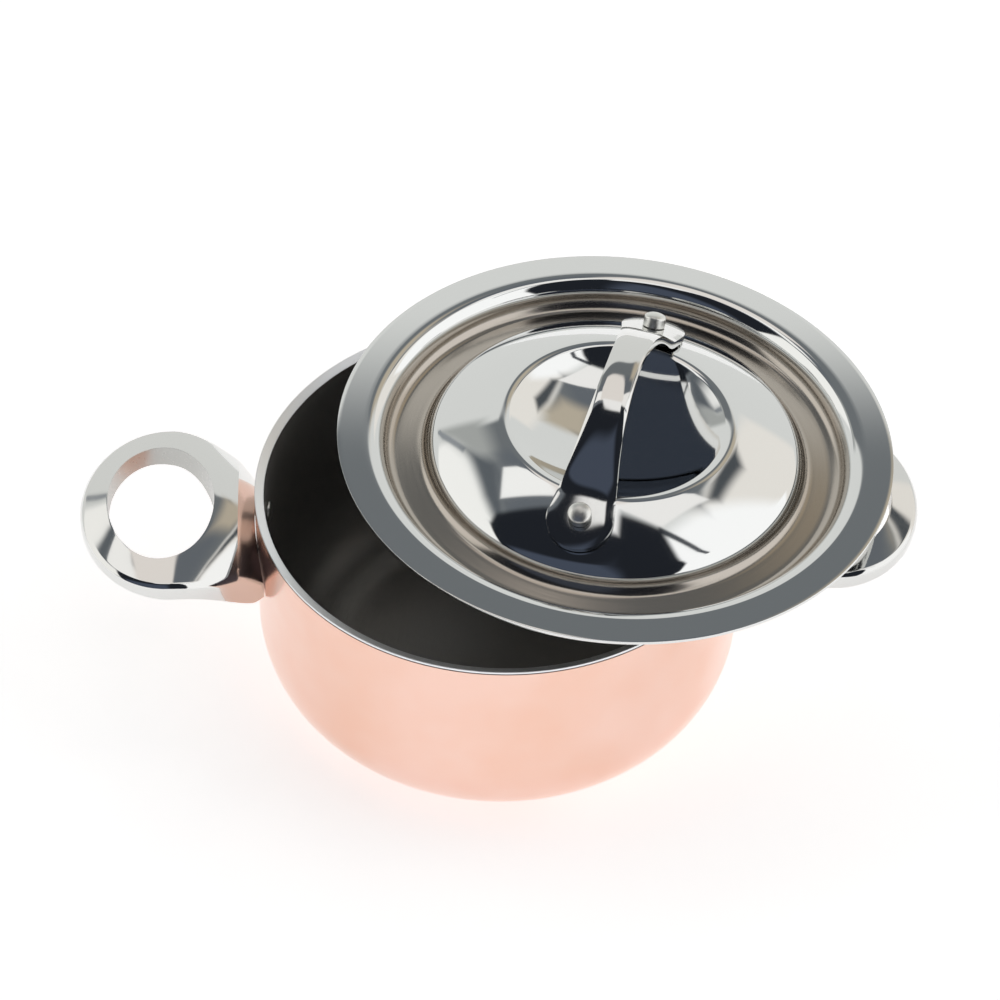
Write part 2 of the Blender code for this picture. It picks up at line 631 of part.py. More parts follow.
def main():
    """Build the saucepan."""
    clear_scene()
    copper = material("polished_copper", (0.90, 0.56, 0.42), 1.0, 0.16)
    lining_steel = material("brushed_lining_steel", (0.42, 0.41, 0.39), 1.0, 0.38)
    cast_steel = material("polished_cast_steel", (0.72, 0.71, 0.69), 1.0, 0.08)
    sheet_steel = material("polished_sheet_steel", (0.70, 0.70, 0.69), 1.0, 0.07)
    rivet_steel = material("rivet_steel", (0.66, 0.65, 0.64), 1.0, 0.15)
    body = make_copper_body(copper)
    lining = make_steel_lining(lining_steel)
    for side in ("left", "right"):
        handle = make_handle(side, cast_steel)
        make_handle_rivets(side, handle, body, lining, rivet_steel)
    make_lid(sheet_steel, cast_steel)


main()
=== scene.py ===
"""Looks of a two-handled copper saucepan with a steel lid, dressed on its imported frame.

Lengths are in metres, +Z is up, the pan's axis is the Z axis and its handles lie along X.
"""
import math

import bmesh
import bpy
from mathutils import Matrix, Vector


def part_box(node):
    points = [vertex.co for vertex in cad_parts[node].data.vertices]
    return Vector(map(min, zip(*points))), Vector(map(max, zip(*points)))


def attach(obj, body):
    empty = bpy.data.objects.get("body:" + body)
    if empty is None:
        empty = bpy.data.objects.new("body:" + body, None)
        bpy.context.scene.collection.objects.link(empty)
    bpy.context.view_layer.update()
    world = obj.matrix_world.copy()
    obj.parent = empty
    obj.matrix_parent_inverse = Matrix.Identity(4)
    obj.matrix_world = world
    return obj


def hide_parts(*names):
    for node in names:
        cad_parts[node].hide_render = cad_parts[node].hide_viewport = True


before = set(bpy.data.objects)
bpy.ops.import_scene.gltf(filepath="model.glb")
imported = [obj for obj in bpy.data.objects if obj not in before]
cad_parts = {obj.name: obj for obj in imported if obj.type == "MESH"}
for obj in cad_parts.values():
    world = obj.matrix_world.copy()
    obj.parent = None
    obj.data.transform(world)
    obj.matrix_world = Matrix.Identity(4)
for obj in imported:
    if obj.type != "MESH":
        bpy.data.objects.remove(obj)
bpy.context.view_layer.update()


# Copper body
# The pan is drawn from 2 mm copper sheet: a flat base, a wide corner and a straight wall.
# It is spun smooth and buffed, so it mirrors what stands round it with a soft blur.
RIM_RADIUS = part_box("copper_body")[1].x
PAN_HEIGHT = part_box("steel_lining")[1].z
CORNER_RADIUS = 0.0315
COPPER_WALL = 0.0019
LINING_WALL = 0.0008
FIT_GAP = 0.0003
LIP_THICKNESS = 0.0010
LIP_DROP = 0.0013
HANDLE_RIVET_DEPTH = 0.0180
HANDLE_RIVET_SPREAD = 0.0174
HANDLE_RIVET_SHANK = 0.0032
HOLE_CLEARANCE = 0.0003
CUTTER_REACH = 0.003  # how far a tool runs past what it cuts
AXIS_MERGE_DISTANCE = 0.0000005
MERGE_DISTANCE = 0.000001
SMOOTH_ANGLE = math.radians(17)
COPPER_INNER_RADIUS = RIM_RADIUS - COPPER_WALL
LINING_OUTER_RADIUS = COPPER_INNER_RADIUS - FIT_GAP
LINING_INNER_RADIUS = LINING_OUTER_RADIUS - LINING_WALL
LIP_SLOPE = LIP_DROP / (RIM_RADIUS - LINING_INNER_RADIUS)
COPPER_COLOUR = "#F4CEBF"
COPPER_PATCH_COLOUR = "#EEC1AC"
COPPER_PATCHES = 28.0  # noise cells in a metre


def linear(code):
    """An sRGB hex colour as linear values with full alpha."""
    channels = [int(code[i:i + 2], 16) / 255 for i in (1, 3, 5)]
    return [c / 12.92 if c <= 0.04045 else ((c + 0.055) / 1.055) ** 2.4 for c in channels] + [1.0]


def add_node(tree, kind, sockets=None, **settings):
    """Add a node, set it up, and fill its sockets with values or with other nodes' outputs."""
    made = tree.nodes.new(kind)
    for name, value in settings.items():
        setattr(made, name, value)
    for name, value in (sockets or {}).items():
        if isinstance(value, bpy.types.NodeSocket):
            tree.links.new(value, made.inputs[name])
        else:
            made.inputs[name].default_value = value
    return made


def empty_material(name):
    """A material with nothing in its tree yet."""
    made = bpy.data.materials.new(name)
    made.use_nodes = True
    made.node_tree.nodes.clear()
    return made


def turning_lines(tree, pitch, sweep, axis=Matrix.Identity(4)):
    """Noise drawn out round an axis, as a lathe or a polishing wheel leaves it: its lines lie about
    one pitch apart, and sweep is how often they break up on the way round. It comes with the height
    along the axis and the place in the axis's own frame."""
    to_axis = axis.inverted()
    place = add_node(tree, "ShaderNodeTexCoord")
    local = add_node(tree, "ShaderNodeMapping", {
        "Vector": place.outputs["Object"],
        "Location": to_axis.translation,
        "Rotation": to_axis.to_euler(),
    })
    split = add_node(tree, "ShaderNodeSeparateXYZ", {"Vector": local.outputs["Vector"]})
    flat = add_node(tree, "ShaderNodeCombineXYZ", {"X": split.outputs["X"], "Y": split.outputs["Y"]})
    radius = add_node(tree, "ShaderNodeVectorMath", {0: flat.outputs["Vector"]}, operation="LENGTH")
    heading = add_node(tree, "ShaderNodeVectorMath", {0: flat.outputs["Vector"]}, operation="NORMALIZE")
    turn = add_node(tree, "ShaderNodeSeparateXYZ", {"Vector": heading.outputs["Vector"]})
    lines = add_node(tree, "ShaderNodeCombineXYZ", {
        "X": add_node(tree, "ShaderNodeMath", {0: radius.outputs["Value"], 1: 1 / pitch},
                      operation="MULTIPLY").outputs["Value"],
        "Y": add_node(tree, "ShaderNodeMath", {0: split.outputs["Z"], 1: 1 / pitch},
                      operation="MULTIPLY").outputs["Value"],
        "Z": add_node(tree, "ShaderNodeMath", {0: turn.outputs["X"], 1: sweep},
                      operation="MULTIPLY").outputs["Value"],
    })
    across = add_node(tree, "ShaderNodeMath", {0: turn.outputs["Y"], 1: sweep}, operation="MULTIPLY")
    noise = add_node(tree, "ShaderNodeTexNoise", {
        "Vector": lines.outputs["Vector"], "W": across.outputs["Value"], "Scale": 1.0, "Detail": 2.0,
    }, noise_dimensions="4D")
    return noise.outputs["Fac"], split.outputs["Z"], local.outputs["Vector"]


def arc(middle_r, middle_z, half_r, half_z, start, end, steps=24):
    """Points of an elliptical arc from one angle to another, in degrees from the outward direction."""
    points = []
    for i in range(steps + 1):
        angle = math.radians(start + (end - start) * i / steps)
        points.append((middle_r + half_r * math.cos(angle), middle_z + half_z * math.sin(angle)))
    return points


def divided(profile, longest=0.003):
    """The same chain of points with its long straight runs cut into short ones."""
    points = [profile[0]]
    for a, b in zip(profile, profile[1:]):
        parts = max(1, math.ceil(math.dist(a, b) / longest))
        points += [(a[0] + (b[0] - a[0]) * i / parts, a[1] + (b[1] - a[1]) * i / parts)
                   for i in range(1, parts + 1)]
    return points


def turned(profile, steps=256):
    """Spin a chain of (radius, height) points about Z into a closed body."""
    bm = bmesh.new()
    verts = [bm.verts.new((r, 0, z)) for r, z in profile]
    edges = [bm.edges.new(pair) for pair in zip(verts, verts[1:])]
    if profile[0][0] > 0:
        edges.append(bm.edges.new((verts[-1], verts[0])))
    bmesh.ops.spin(bm, geom=verts + edges, axis=(0, 0, 1), cent=(0, 0, 0), angle=math.tau,
                   steps=steps, use_merge=True)
    bmesh.ops.remove_doubles(bm, verts=bm.verts, dist=AXIS_MERGE_DISTANCE)
    bmesh.ops.recalc_face_normals(bm, faces=bm.faces)
    return bm


def soften(bm, radius, segments, least_angle=50, keep=None):
    """Round the sharp edges of a body, all or only those that keep picks."""
    edges = []
    for edge in bm.edges:
        if edge.calc_face_angle(0) > math.radians(least_angle) and (keep is None or keep(edge)):
            edges.append(edge)
    bmesh.ops.bevel(bm, geom=edges, offset=radius, offset_type="OFFSET", segments=segments,
                    profile=0.5, affect="EDGES", clamp_overlap=True, material=-1)


def bar(radius, low, high, place, steps=64):
    """A round bar along the Z axis of a place, as a tool to cut holes with."""
    bm = bmesh.new()
    middle = place @ Matrix.Translation((0, 0, (low + high) / 2))
    bmesh.ops.create_cone(bm, cap_ends=True, segments=steps, radius1=radius, radius2=radius,
                          depth=high - low, matrix=middle)
    return bm


def loose_object(name, bm):
    """Put a shape in the scene."""
    mesh = bpy.data.meshes.new(name)
    bm.to_mesh(mesh)
    bm.free()
    made = bpy.data.objects.new(name, mesh)
    bpy.context.scene.collection.objects.link(made)
    return made


def cut(bm, tools):
    """Take tool shapes out of a body and return what is left."""
    body = loose_object("blank", bm)
    cutters = [loose_object("cutter", tool) for tool in tools]
    for cutter in cutters:
        cutting = body.modifiers.new("cut", "BOOLEAN")
        cutting.operation = "DIFFERENCE"
        cutting.solver = "EXACT"
        cutting.object = cutter
    bpy.context.view_layer.update()
    left = bpy.data.meshes.new_from_object(body.evaluated_get(bpy.context.evaluated_depsgraph_get()))
    for spent in [body, *cutters]:
        bpy.data.objects.remove(spent, do_unlink=True)
    result = bmesh.new()
    result.from_mesh(left)
    bpy.data.meshes.remove(left)
    return result


def make_piece(name, bm, materials, body):
    """Finish a body, name it for the CAD node it stands for, and let it ride on a CAD body."""
    piece = loose_object(name + "_finished", bm)
    piece.data.shade_smooth()
    piece.data.set_sharp_from_angle(angle=SMOOTH_ANGLE)
    for finish in materials:
        piece.data.materials.append(finish)
    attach(piece, body)
    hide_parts(name)
    return piece


def lip_height(radius):
    """Height of the lip's sloping top at a radius."""
    return PAN_HEIGHT - LIP_SLOPE * (RIM_RADIUS - radius)


def corner(radius, floor):
    """The rounded corner of one layer, from its wall to its floor."""
    middle = RIM_RADIUS - CORNER_RADIUS
    return arc(middle, CORNER_RADIUS, radius - middle, CORNER_RADIUS - floor, 0, -90)


def handle_rivet_place(side, end):
    """Place of one handle rivet: its Z points from the pan's axis out through the wall."""
    spread = end * math.asin(HANDLE_RIVET_SPREAD / 2 / RIM_RADIUS)
    azimuth = spread if side == "right" else math.pi - spread
    level = Matrix.Translation((0, 0, PAN_HEIGHT - HANDLE_RIVET_DEPTH))
    return level @ Matrix.Rotation(azimuth, 4, "Z") @ Matrix.Rotation(math.pi / 2, 4, "Y")


handle_rivet_places = {(side, label): handle_rivet_place(side, end)
                       for side in ("left", "right") for label, end in (("front", -1), ("back", 1))}


def rivet_hole_tools():
    """Bars that make the handle rivets' holes through the pan's wall."""
    radius = HANDLE_RIVET_SHANK / 2 + HOLE_CLEARANCE
    return [bar(radius, LINING_INNER_RADIUS - CUTTER_REACH, RIM_RADIUS + CUTTER_REACH, place)
            for place in handle_rivet_places.values()]


def polished_copper():
    """Buffed copper: pale where it mirrors a white room, with faint warmer patches some centimetres
    wide, and the hair lines of the mop, which run round the wall and soften what it mirrors. The lines are
    drawn coarser than real ones, so that they show."""
    made = empty_material("polished_copper")
    tree = made.node_tree
    lines, _, local = turning_lines(tree, pitch=0.0006, sweep=5.0)
    patches = add_node(tree, "ShaderNodeTexNoise", {
        "Vector": local, "Scale": COPPER_PATCHES, "Detail": 3.0})
    share = add_node(tree, "ShaderNodeMapRange", {
        "Value": patches.outputs["Fac"], "From Min": 0.40, "From Max": 0.80})
    colour = add_node(tree, "ShaderNodeMix", {
        "Factor": share.outputs["Result"], "A": linear(COPPER_COLOUR), "B": linear(COPPER_PATCH_COLOUR),
    }, data_type="RGBA")
    rough = add_node(tree, "ShaderNodeMapRange", {"Value": lines, "To Min": 0.17, "To Max": 0.25})
    bump = add_node(tree, "ShaderNodeBump", {"Height": lines, "Strength": 0.04, "Distance": 0.0001})
    shader = add_node(tree, "ShaderNodeBsdfPrincipled", {
        "Base Color": colour.outputs["Result"], "Metallic": 1.0,
        "Roughness": rough.outputs["Result"], "Normal": bump.outputs["Normal"]})
    add_node(tree, "ShaderNodeOutputMaterial", {"Surface": shader.outputs["BSDF"]})
    return made


copper = polished_copper()
under_lip = LIP_THICKNESS + FIT_GAP
copper_outside = [(RIM_RADIUS, lip_height(RIM_RADIUS) - under_lip)] + corner(RIM_RADIUS, 0)
copper_inside = [(COPPER_INNER_RADIUS, lip_height(COPPER_INNER_RADIUS) - under_lip)]
copper_inside += corner(COPPER_INNER_RADIUS, COPPER_WALL)
copper_profile = [(0, COPPER_WALL)] + copper_inside[::-1] + copper_outside + [(0, 0)]
copper_bm = cut(turned(divided(copper_profile)), rivet_hole_tools())
make_piece("copper_body", copper_bm, [copper], "pan")


# Steel lining
# A thin sheet of stainless steel lines the copper and turns out over its edge as a lip.
# The inside is brushed round the pan to a dull grey, and the lip is turned,
# with a lighter colour painted on it as a highlight.
LINING_COLOUR = "#A9A7A3"
# The lip is the same steel as the lining; its lighter colour is a painted highlight.
LIP_HIGHLIGHT_COLOUR = "#ECEEF0"
LIP_EDGE_RADIUS = 0.0002
LIP_START = 0.00005  # how far past the inner wall the lip's finish and its painted highlight start


def brushed_lining():
    """Stainless steel brushed round the pan: a dull grey with streaks of light that fan from its axis."""
    made = empty_material("brushed_lining_steel")
    tree = made.node_tree
    lines, _, _ = turning_lines(tree, pitch=0.0007, sweep=9.0)
    rough = add_node(tree, "ShaderNodeMapRange", {"Value": lines, "To Min": 0.32, "To Max": 0.46})
    bump = add_node(tree, "ShaderNodeBump", {"Height": lines, "Strength": 0.25, "Distance": 0.0002})
    shader = add_node(tree, "ShaderNodeBsdfPrincipled", {
        "Base Color": linear(LINING_COLOUR), "Metallic": 0.62,
        "Roughness": rough.outputs["Result"], "Normal": bump.outputs["Normal"]})
    add_node(tree, "ShaderNodeOutputMaterial", {"Surface": shader.outputs["BSDF"]})
    return made


def turned_lip_with_painted_highlight():
    """The lip's turned face: finer lines and a smoother satin than the inside, and a painted highlight in
    its lighter colour.
    """
    made = empty_material("turned_lip_steel")
    tree = made.node_tree
    lines, _, _ = turning_lines(tree, pitch=0.0003, sweep=7.0)
    rough = add_node(tree, "ShaderNodeMapRange", {"Value": lines, "To Min": 0.26, "To Max": 0.38})
    bump = add_node(tree, "ShaderNodeBump", {"Height": lines, "Strength": 0.15, "Distance": 0.0001})
    # Painted highlight: the lip's lighter base colour.
    shader = add_node(tree, "ShaderNodeBsdfPrincipled", {
        "Base Color": linear(LIP_HIGHLIGHT_COLOUR), "Metallic": 1.0,
        "Roughness": rough.outputs["Result"], "Normal": bump.outputs["Normal"]})
    add_node(tree, "ShaderNodeOutputMaterial", {"Surface": shader.outputs["BSDF"]})
    return made


outer_floor = COPPER_WALL + FIT_GAP
inner_floor = outer_floor + LINING_WALL
lining_inside = [(LINING_INNER_RADIUS, lip_height(LINING_INNER_RADIUS))]
lining_inside += corner(LINING_INNER_RADIUS, inner_floor)
lining_outside = [(LINING_OUTER_RADIUS, lip_height(LINING_OUTER_RADIUS) - LIP_THICKNESS)]
lining_outside += corner(LINING_OUTER_RADIUS, outer_floor)
lip = [(RIM_RADIUS, PAN_HEIGHT), (RIM_RADIUS, PAN_HEIGHT - LIP_THICKNESS)]
lining_profile = [(0, inner_floor)] + lining_inside[::-1] + lip + lining_outside + [(0, outer_floor)]
lining_bm = turned(divided(lining_profile))
soften(lining_bm, LIP_EDGE_RADIUS, segments=2)
# Faces on the lip get the material with the painted highlight.
for face in lining_bm.faces:
    middle = face.calc_center_median()
    outside = middle.xy.length > LINING_INNER_RADIUS + LIP_START
    if outside and middle.z > PAN_HEIGHT - LIP_DROP - LIP_THICKNESS:
        face.material_index = 1
lining_bm = cut(lining_bm, rivet_hole_tools())
make_piece("steel_lining", lining_bm, [brushed_lining(), turned_lip_with_painted_highlight()], "pan")


# Ring handles
# Each handle is one steel casting: a ring for two fingers whose neck flares into a saddle against
# the wall, with a crease where the neck meets the saddle. It is ground round and mirror polished.
HANDLE_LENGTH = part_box("right_handle")[1].x - RIM_RADIUS
RING_HALF_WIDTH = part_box("right_handle")[1].y
RING_TIP_WIDTH = 0.0091
RING_SIDE_WIDTH = 0.0108
RING_SETBACK = 0.0023
HOLE_SETBACK = 0.0131
CREASE_SETBACK = 0.0055
NECK_HALF_WIDTH = 0.0232
RING_THICKNESS = 0.0097
RING_TOP_DEPTH = 0.0025
RING_EDGE_DROP = 0.0036
RING_TIP_DROP = 0.0036
RING_SIDE_DROP = 0.0003
RING_ROUNDING = 0.0016
RING_TIP_LIFT = 0.0028
NECK_EDGE_DROP = 0.0076
NECK_SADDLE = 0.0028
NECK_FLARE = 0.0155
FLARE_EASE = 2.4  # a power: the higher, the nearer to the wall the underside starts to sweep down
FLARE_ROUNDING = 1.35  # a power: the higher, the softer it meets the wall
CREASE_DROP = 0.0031
HANDLE_EDGE_RADIUS = 0.0008
HANDLE_RIVET_BITE = 0.0042
RING_STEPS = 192
RING_ROWS = 28
ROW_CROWDING = 1.5  # a power: the higher, the closer the rows lie at the outline
HOLE_WALL_REACH = 1.02  # as a share of the hole's half length and half width
HANDLE_REACH = RIM_RADIUS + HANDLE_LENGTH
HOLE_HALF_LENGTH = (HANDLE_LENGTH - RING_TIP_WIDTH - HOLE_SETBACK) / 2
HOLE_HALF_WIDTH = RING_HALF_WIDTH - RING_SIDE_WIDTH
HOLE_MIDDLE = RIM_RADIUS + HOLE_SETBACK + HOLE_HALF_LENGTH
RING_MIDDLE = HOLE_MIDDLE - RING_SETBACK
CREASE_DISTANCE = RIM_RADIUS + CREASE_SETBACK
NECK_LENGTH = RING_MIDDLE - RIM_RADIUS
HANDLE_SEAT_RADIUS = RIM_RADIUS + FIT_GAP
HANDLE_ROOT = math.sqrt(RIM_RADIUS ** 2 - NECK_HALF_WIDTH ** 2) - 2 * FIT_GAP
HANDLE_COLOUR = "#DADAD8"
# The hole's wall is painted a darker grey than the handle, as shade in the hole.
HOLE_SHADE_COLOUR = "#B9B9B6"
POLISHING_WAVES = 60.0
POLISHING_GRAINS = 900.0
GRINDING_PITS = 1100.0


def handle_half_width(distance):
    """Half width of the handle at a distance from the pan's axis: a neck, then half an ellipse."""
    if distance < RING_MIDDLE:
        back = (RING_MIDDLE - distance) / NECK_LENGTH
        return RING_HALF_WIDTH - (RING_HALF_WIDTH - NECK_HALF_WIDTH) * back * back
    ahead = min((distance - RING_MIDDLE) / (HANDLE_REACH - RING_MIDDLE), 1)
    return RING_HALF_WIDTH * math.sqrt(1 - ahead * ahead)


def handle_edge_point(turn):
    """Where a line from the ring hole's middle leaves the handle's outline, found by halving: it lies
    between one and four times as far out as the hole's edge."""
    run = (HOLE_HALF_LENGTH * math.cos(turn), HOLE_HALF_WIDTH * math.sin(turn))
    near, far = 1.0, 4.0
    for _ in range(40):
        middle = (near + far) / 2
        distance = HOLE_MIDDLE + run[0] * middle
        inside = HANDLE_ROOT <= distance <= HANDLE_REACH
        if inside and abs(run[1] * middle) <= handle_half_width(distance):
            near = middle
        else:
            far = middle
    return HOLE_MIDDLE + run[0] * near, run[1] * near


def handle_top(distance, across):
    """Height of the handle's crowned top, whose neck dips towards the crease and past it."""
    behind = max((RING_MIDDLE - distance) / (RING_MIDDLE - CREASE_DISTANCE), 0)
    back = min(behind, 1)
    ease = back * back * (3 - 2 * back)
    drop = RING_EDGE_DROP + (NECK_EDGE_DROP - RING_EDGE_DROP) * ease
    half = handle_half_width(distance) if distance < RING_MIDDLE else RING_HALF_WIDTH
    return PAN_HEIGHT - RING_TOP_DEPTH - drop * (across / half) ** 2 - NECK_SADDLE * behind ** 3


def handle_bottom(distance):
    """Height of the handle's underside, which sweeps down to the wall as a flange."""
    back = min(max((RING_MIDDLE - distance) / NECK_LENGTH, 0), 1)
    flare = 1 - (1 - back ** FLARE_EASE) ** FLARE_ROUNDING
    ahead = max((distance - RING_MIDDLE) / (HANDLE_REACH - RING_MIDDLE), 0)
    return PAN_HEIGHT - RING_TOP_DEPTH - RING_THICKNESS - NECK_FLARE * flare + RING_TIP_LIFT * ahead


def ring_fall(turn, share, inner, outer):
    """How far the ring's top falls below its crown at a share of the way from the hole to its outline:
    it slopes outwards, and its outer edge is rounded, except where it meets the wall."""
    slope = RING_TIP_DROP * max(math.cos(turn), 0) ** 2 + RING_SIDE_DROP * math.sin(turn) ** 2
    near_edge = max(RING_ROUNDING - (1 - share) * math.dist(inner, outer), 0)
    if outer[0] < HANDLE_ROOT + FIT_GAP:
        near_edge = 0
    return share * slope + RING_ROUNDING - math.sqrt(RING_ROUNDING ** 2 - near_edge ** 2)


def flat_ring():
    """A sheet from the ring's hole to the handle's outline, with rows that crowd towards the outline.
    Each point's height is its fall."""
    bm = bmesh.new()
    bmesh.ops.create_grid(bm, x_segments=RING_STEPS, y_segments=RING_ROWS, size=1)
    for vert in bm.verts:
        turn = vert.co.x * math.pi
        share = 1 - ((1 - vert.co.y) / 2) ** ROW_CROWDING
        outer = handle_edge_point(turn)
        inner = (HOLE_MIDDLE + HOLE_HALF_LENGTH * math.cos(turn), HOLE_HALF_WIDTH * math.sin(turn))
        x, y = (a + (b - a) * share for a, b in zip(inner, outer))
        vert.co = (x, y, ring_fall(turn, share, inner, outer))
    bmesh.ops.remove_doubles(bm, verts=bm.verts, dist=MERGE_DISTANCE)
    return bm


def handle_blank():
    """The handle before it is fitted to the wall: the flat ring gets a top and an underside by rule,
    then its crease, its rounded edges and the other finish of the hole's wall, which carries painted shade."""
    bm = flat_ring()
    above = set(bm.verts)
    bmesh.ops.extrude_face_region(bm, geom=bm.faces[:], use_keep_orig=True)
    for vert in bm.verts:
        x, y, fall = vert.co
        vert.co.z = handle_top(x, y) - fall if vert in above else handle_bottom(x)
    everything = bm.verts[:] + bm.edges[:] + bm.faces[:]
    bmesh.ops.bisect_plane(bm, geom=everything, dist=MERGE_DISTANCE,
                           plane_co=(CREASE_DISTANCE, 0, 0), plane_no=(1, 0, 0))
    for vert in bm.verts:
        past = (CREASE_DISTANCE - vert.co.x) / (CREASE_DISTANCE - RIM_RADIUS)
        if past > 0:
            low = handle_bottom(vert.co.x)
            height = (vert.co.z - low) / (handle_top(vert.co.x, vert.co.y) - low)
            vert.co.z -= CREASE_DROP * past * height
    bmesh.ops.recalc_face_normals(bm, faces=bm.faces)
    soften(bm, HANDLE_EDGE_RADIUS, segments=8,
           keep=lambda edge: any(v.co.x > HANDLE_ROOT + FIT_GAP for v in edge.verts))
    # The hole's upright wall gets the ground finish with its painted shade.
    for face in bm.faces:
        middle = face.calc_center_median()
        reach = math.hypot((middle.x - HOLE_MIDDLE) / HOLE_HALF_LENGTH, middle.y / HOLE_HALF_WIDTH)
        upright = abs(face.normal.z) < 0.5
        if upright and reach < HOLE_WALL_REACH:
            face.material_index = 1
    return bm


def polished_casting():
    """Mirror polished cast steel: a clear mirror whose hand polishing leaves a slow waviness, with a
    faint haze, drawn coarser than the polishing paste, so that it shows."""
    made = empty_material("polished_cast_steel")
    tree = made.node_tree
    place = add_node(tree, "ShaderNodeTexCoord")
    waves = add_node(tree, "ShaderNodeTexNoise", {
        "Vector": place.outputs["Object"], "Scale": POLISHING_WAVES, "Detail": 1.0})
    haze = add_node(tree, "ShaderNodeTexNoise", {
        "Vector": place.outputs["Object"], "Scale": POLISHING_GRAINS, "Detail": 2.0})
    rough = add_node(tree, "ShaderNodeMapRange", {
        "Value": haze.outputs["Fac"], "To Min": 0.04, "To Max": 0.09})
    bump = add_node(tree, "ShaderNodeBump", {
        "Height": waves.outputs["Fac"], "Strength": 0.25, "Distance": 0.0006})
    shader = add_node(tree, "ShaderNodeBsdfPrincipled", {
        "Base Color": linear(HANDLE_COLOUR), "Metallic": 1.0,
        "Roughness": rough.outputs["Result"], "Normal": bump.outputs["Normal"]})
    add_node(tree, "ShaderNodeOutputMaterial", {"Surface": shader.outputs["BSDF"]})
    return made


def ground_hole_with_painted_shade():
    """The ring hole's wall: ground with a fine wheel, so a satin with small pits, which are drawn
    coarser than the wheel's grit, so that they show. Its grey, darker than the polished steel, is painted
    shade."""
    made = empty_material("ground_cast_steel_with_painted_shade")
    tree = made.node_tree
    place = add_node(tree, "ShaderNodeTexCoord")
    pits = add_node(tree, "ShaderNodeTexNoise", {
        "Vector": place.outputs["Object"], "Scale": GRINDING_PITS, "Detail": 2.0})
    rough = add_node(tree, "ShaderNodeMapRange", {
        "Value": pits.outputs["Fac"], "To Min": 0.22, "To Max": 0.38})
    bump = add_node(tree, "ShaderNodeBump", {
        "Height": pits.outputs["Fac"], "Strength": 0.25, "Distance": 0.0002})
    # Painted shade: the hole wall's darker base colour.
    shader = add_node(tree, "ShaderNodeBsdfPrincipled", {
        "Base Color": linear(HOLE_SHADE_COLOUR), "Metallic": 1.0,
        "Roughness": rough.outputs["Result"], "Normal": bump.outputs["Normal"]})
    add_node(tree, "ShaderNodeOutputMaterial", {"Surface": shader.outputs["BSDF"]})
    return made


casting = polished_casting()
shaded_hole_wall = ground_hole_with_painted_shade()
for side in ("left", "right"):
    handle_bm = handle_blank()
    if side == "left":
        bmesh.ops.rotate(handle_bm, cent=(0, 0, 0), matrix=Matrix.Rotation(math.pi, 3, "Z"),
                         verts=handle_bm.verts)
    handle_tools = [bar(HANDLE_SEAT_RADIUS, 0, PAN_HEIGHT + CUTTER_REACH, Matrix.Identity(4), steps=256)]
    blind = (RIM_RADIUS - CUTTER_REACH, HANDLE_SEAT_RADIUS + HANDLE_RIVET_BITE + FIT_GAP)
    for label in ("front", "back"):
        place = handle_rivet_places[side, label]
        handle_tools.append(bar(HANDLE_RIVET_SHANK / 2 + HOLE_CLEARANCE, *blind, place))
    make_piece(side + "_handle", cut(handle_bm, handle_tools), [casting, shaded_hole_wall], "pan")


# Handle rivets
# Two steel rivets hold each handle. Their low round heads show inside the pan, and their shanks
# run through lining and copper into blind holes of the casting.
HANDLE_RIVET_HEAD = 0.0070
HANDLE_RIVET_RISE = 0.0013
HANDLE_RIVET_RIM = 0.0004
RIVET_COLOUR = "#DDDDD9"
TUMBLING_PITS = 1400.0


def tumbled_rivet():
    """Steel rivets as they come from the tumbler: bright but soft, with fine pits, which are drawn
    coarser than real ones, so that they show."""
    made = empty_material("tumbled_rivet_steel")
    tree = made.node_tree
    place = add_node(tree, "ShaderNodeTexCoord")
    pits = add_node(tree, "ShaderNodeTexNoise", {
        "Vector": place.outputs["Object"], "Scale": TUMBLING_PITS, "Detail": 2.0})
    rough = add_node(tree, "ShaderNodeMapRange", {
        "Value": pits.outputs["Fac"], "To Min": 0.28, "To Max": 0.42})
    bump = add_node(tree, "ShaderNodeBump", {
        "Height": pits.outputs["Fac"], "Strength": 0.20, "Distance": 0.0001})
    shader = add_node(tree, "ShaderNodeBsdfPrincipled", {
        "Base Color": linear(RIVET_COLOUR), "Metallic": 1.0,
        "Roughness": rough.outputs["Result"], "Normal": bump.outputs["Normal"]})
    add_node(tree, "ShaderNodeOutputMaterial", {"Surface": shader.outputs["BSDF"]})
    return made


rivet_steel = tumbled_rivet()
rivet_seat = LINING_INNER_RADIUS - FIT_GAP - HANDLE_RIVET_HEAD ** 2 / 8 / LINING_INNER_RADIUS
rivet_tip = HANDLE_SEAT_RADIUS + HANDLE_RIVET_BITE
rivet_rise = HANDLE_RIVET_RISE - HANDLE_RIVET_RIM
head_dome = arc(0, rivet_seat - HANDLE_RIVET_RIM, HANDLE_RIVET_HEAD / 2, rivet_rise, -90, 0, steps=10)
head_dome[0] = (0, head_dome[0][1])
handle_rivet_profile = head_dome + [
    (HANDLE_RIVET_HEAD / 2, rivet_seat), (HANDLE_RIVET_SHANK / 2, rivet_seat),
    (HANDLE_RIVET_SHANK / 2, rivet_tip), (0, rivet_tip)]
for (side, label), place in handle_rivet_places.items():
    handle_rivet_bm = turned(handle_rivet_profile, steps=48)
    bmesh.ops.transform(handle_rivet_bm, matrix=place, verts=handle_rivet_bm.verts)
    make_piece(f"{side}_handle_rivet_{label}", handle_rivet_bm, [rivet_steel], "pan")


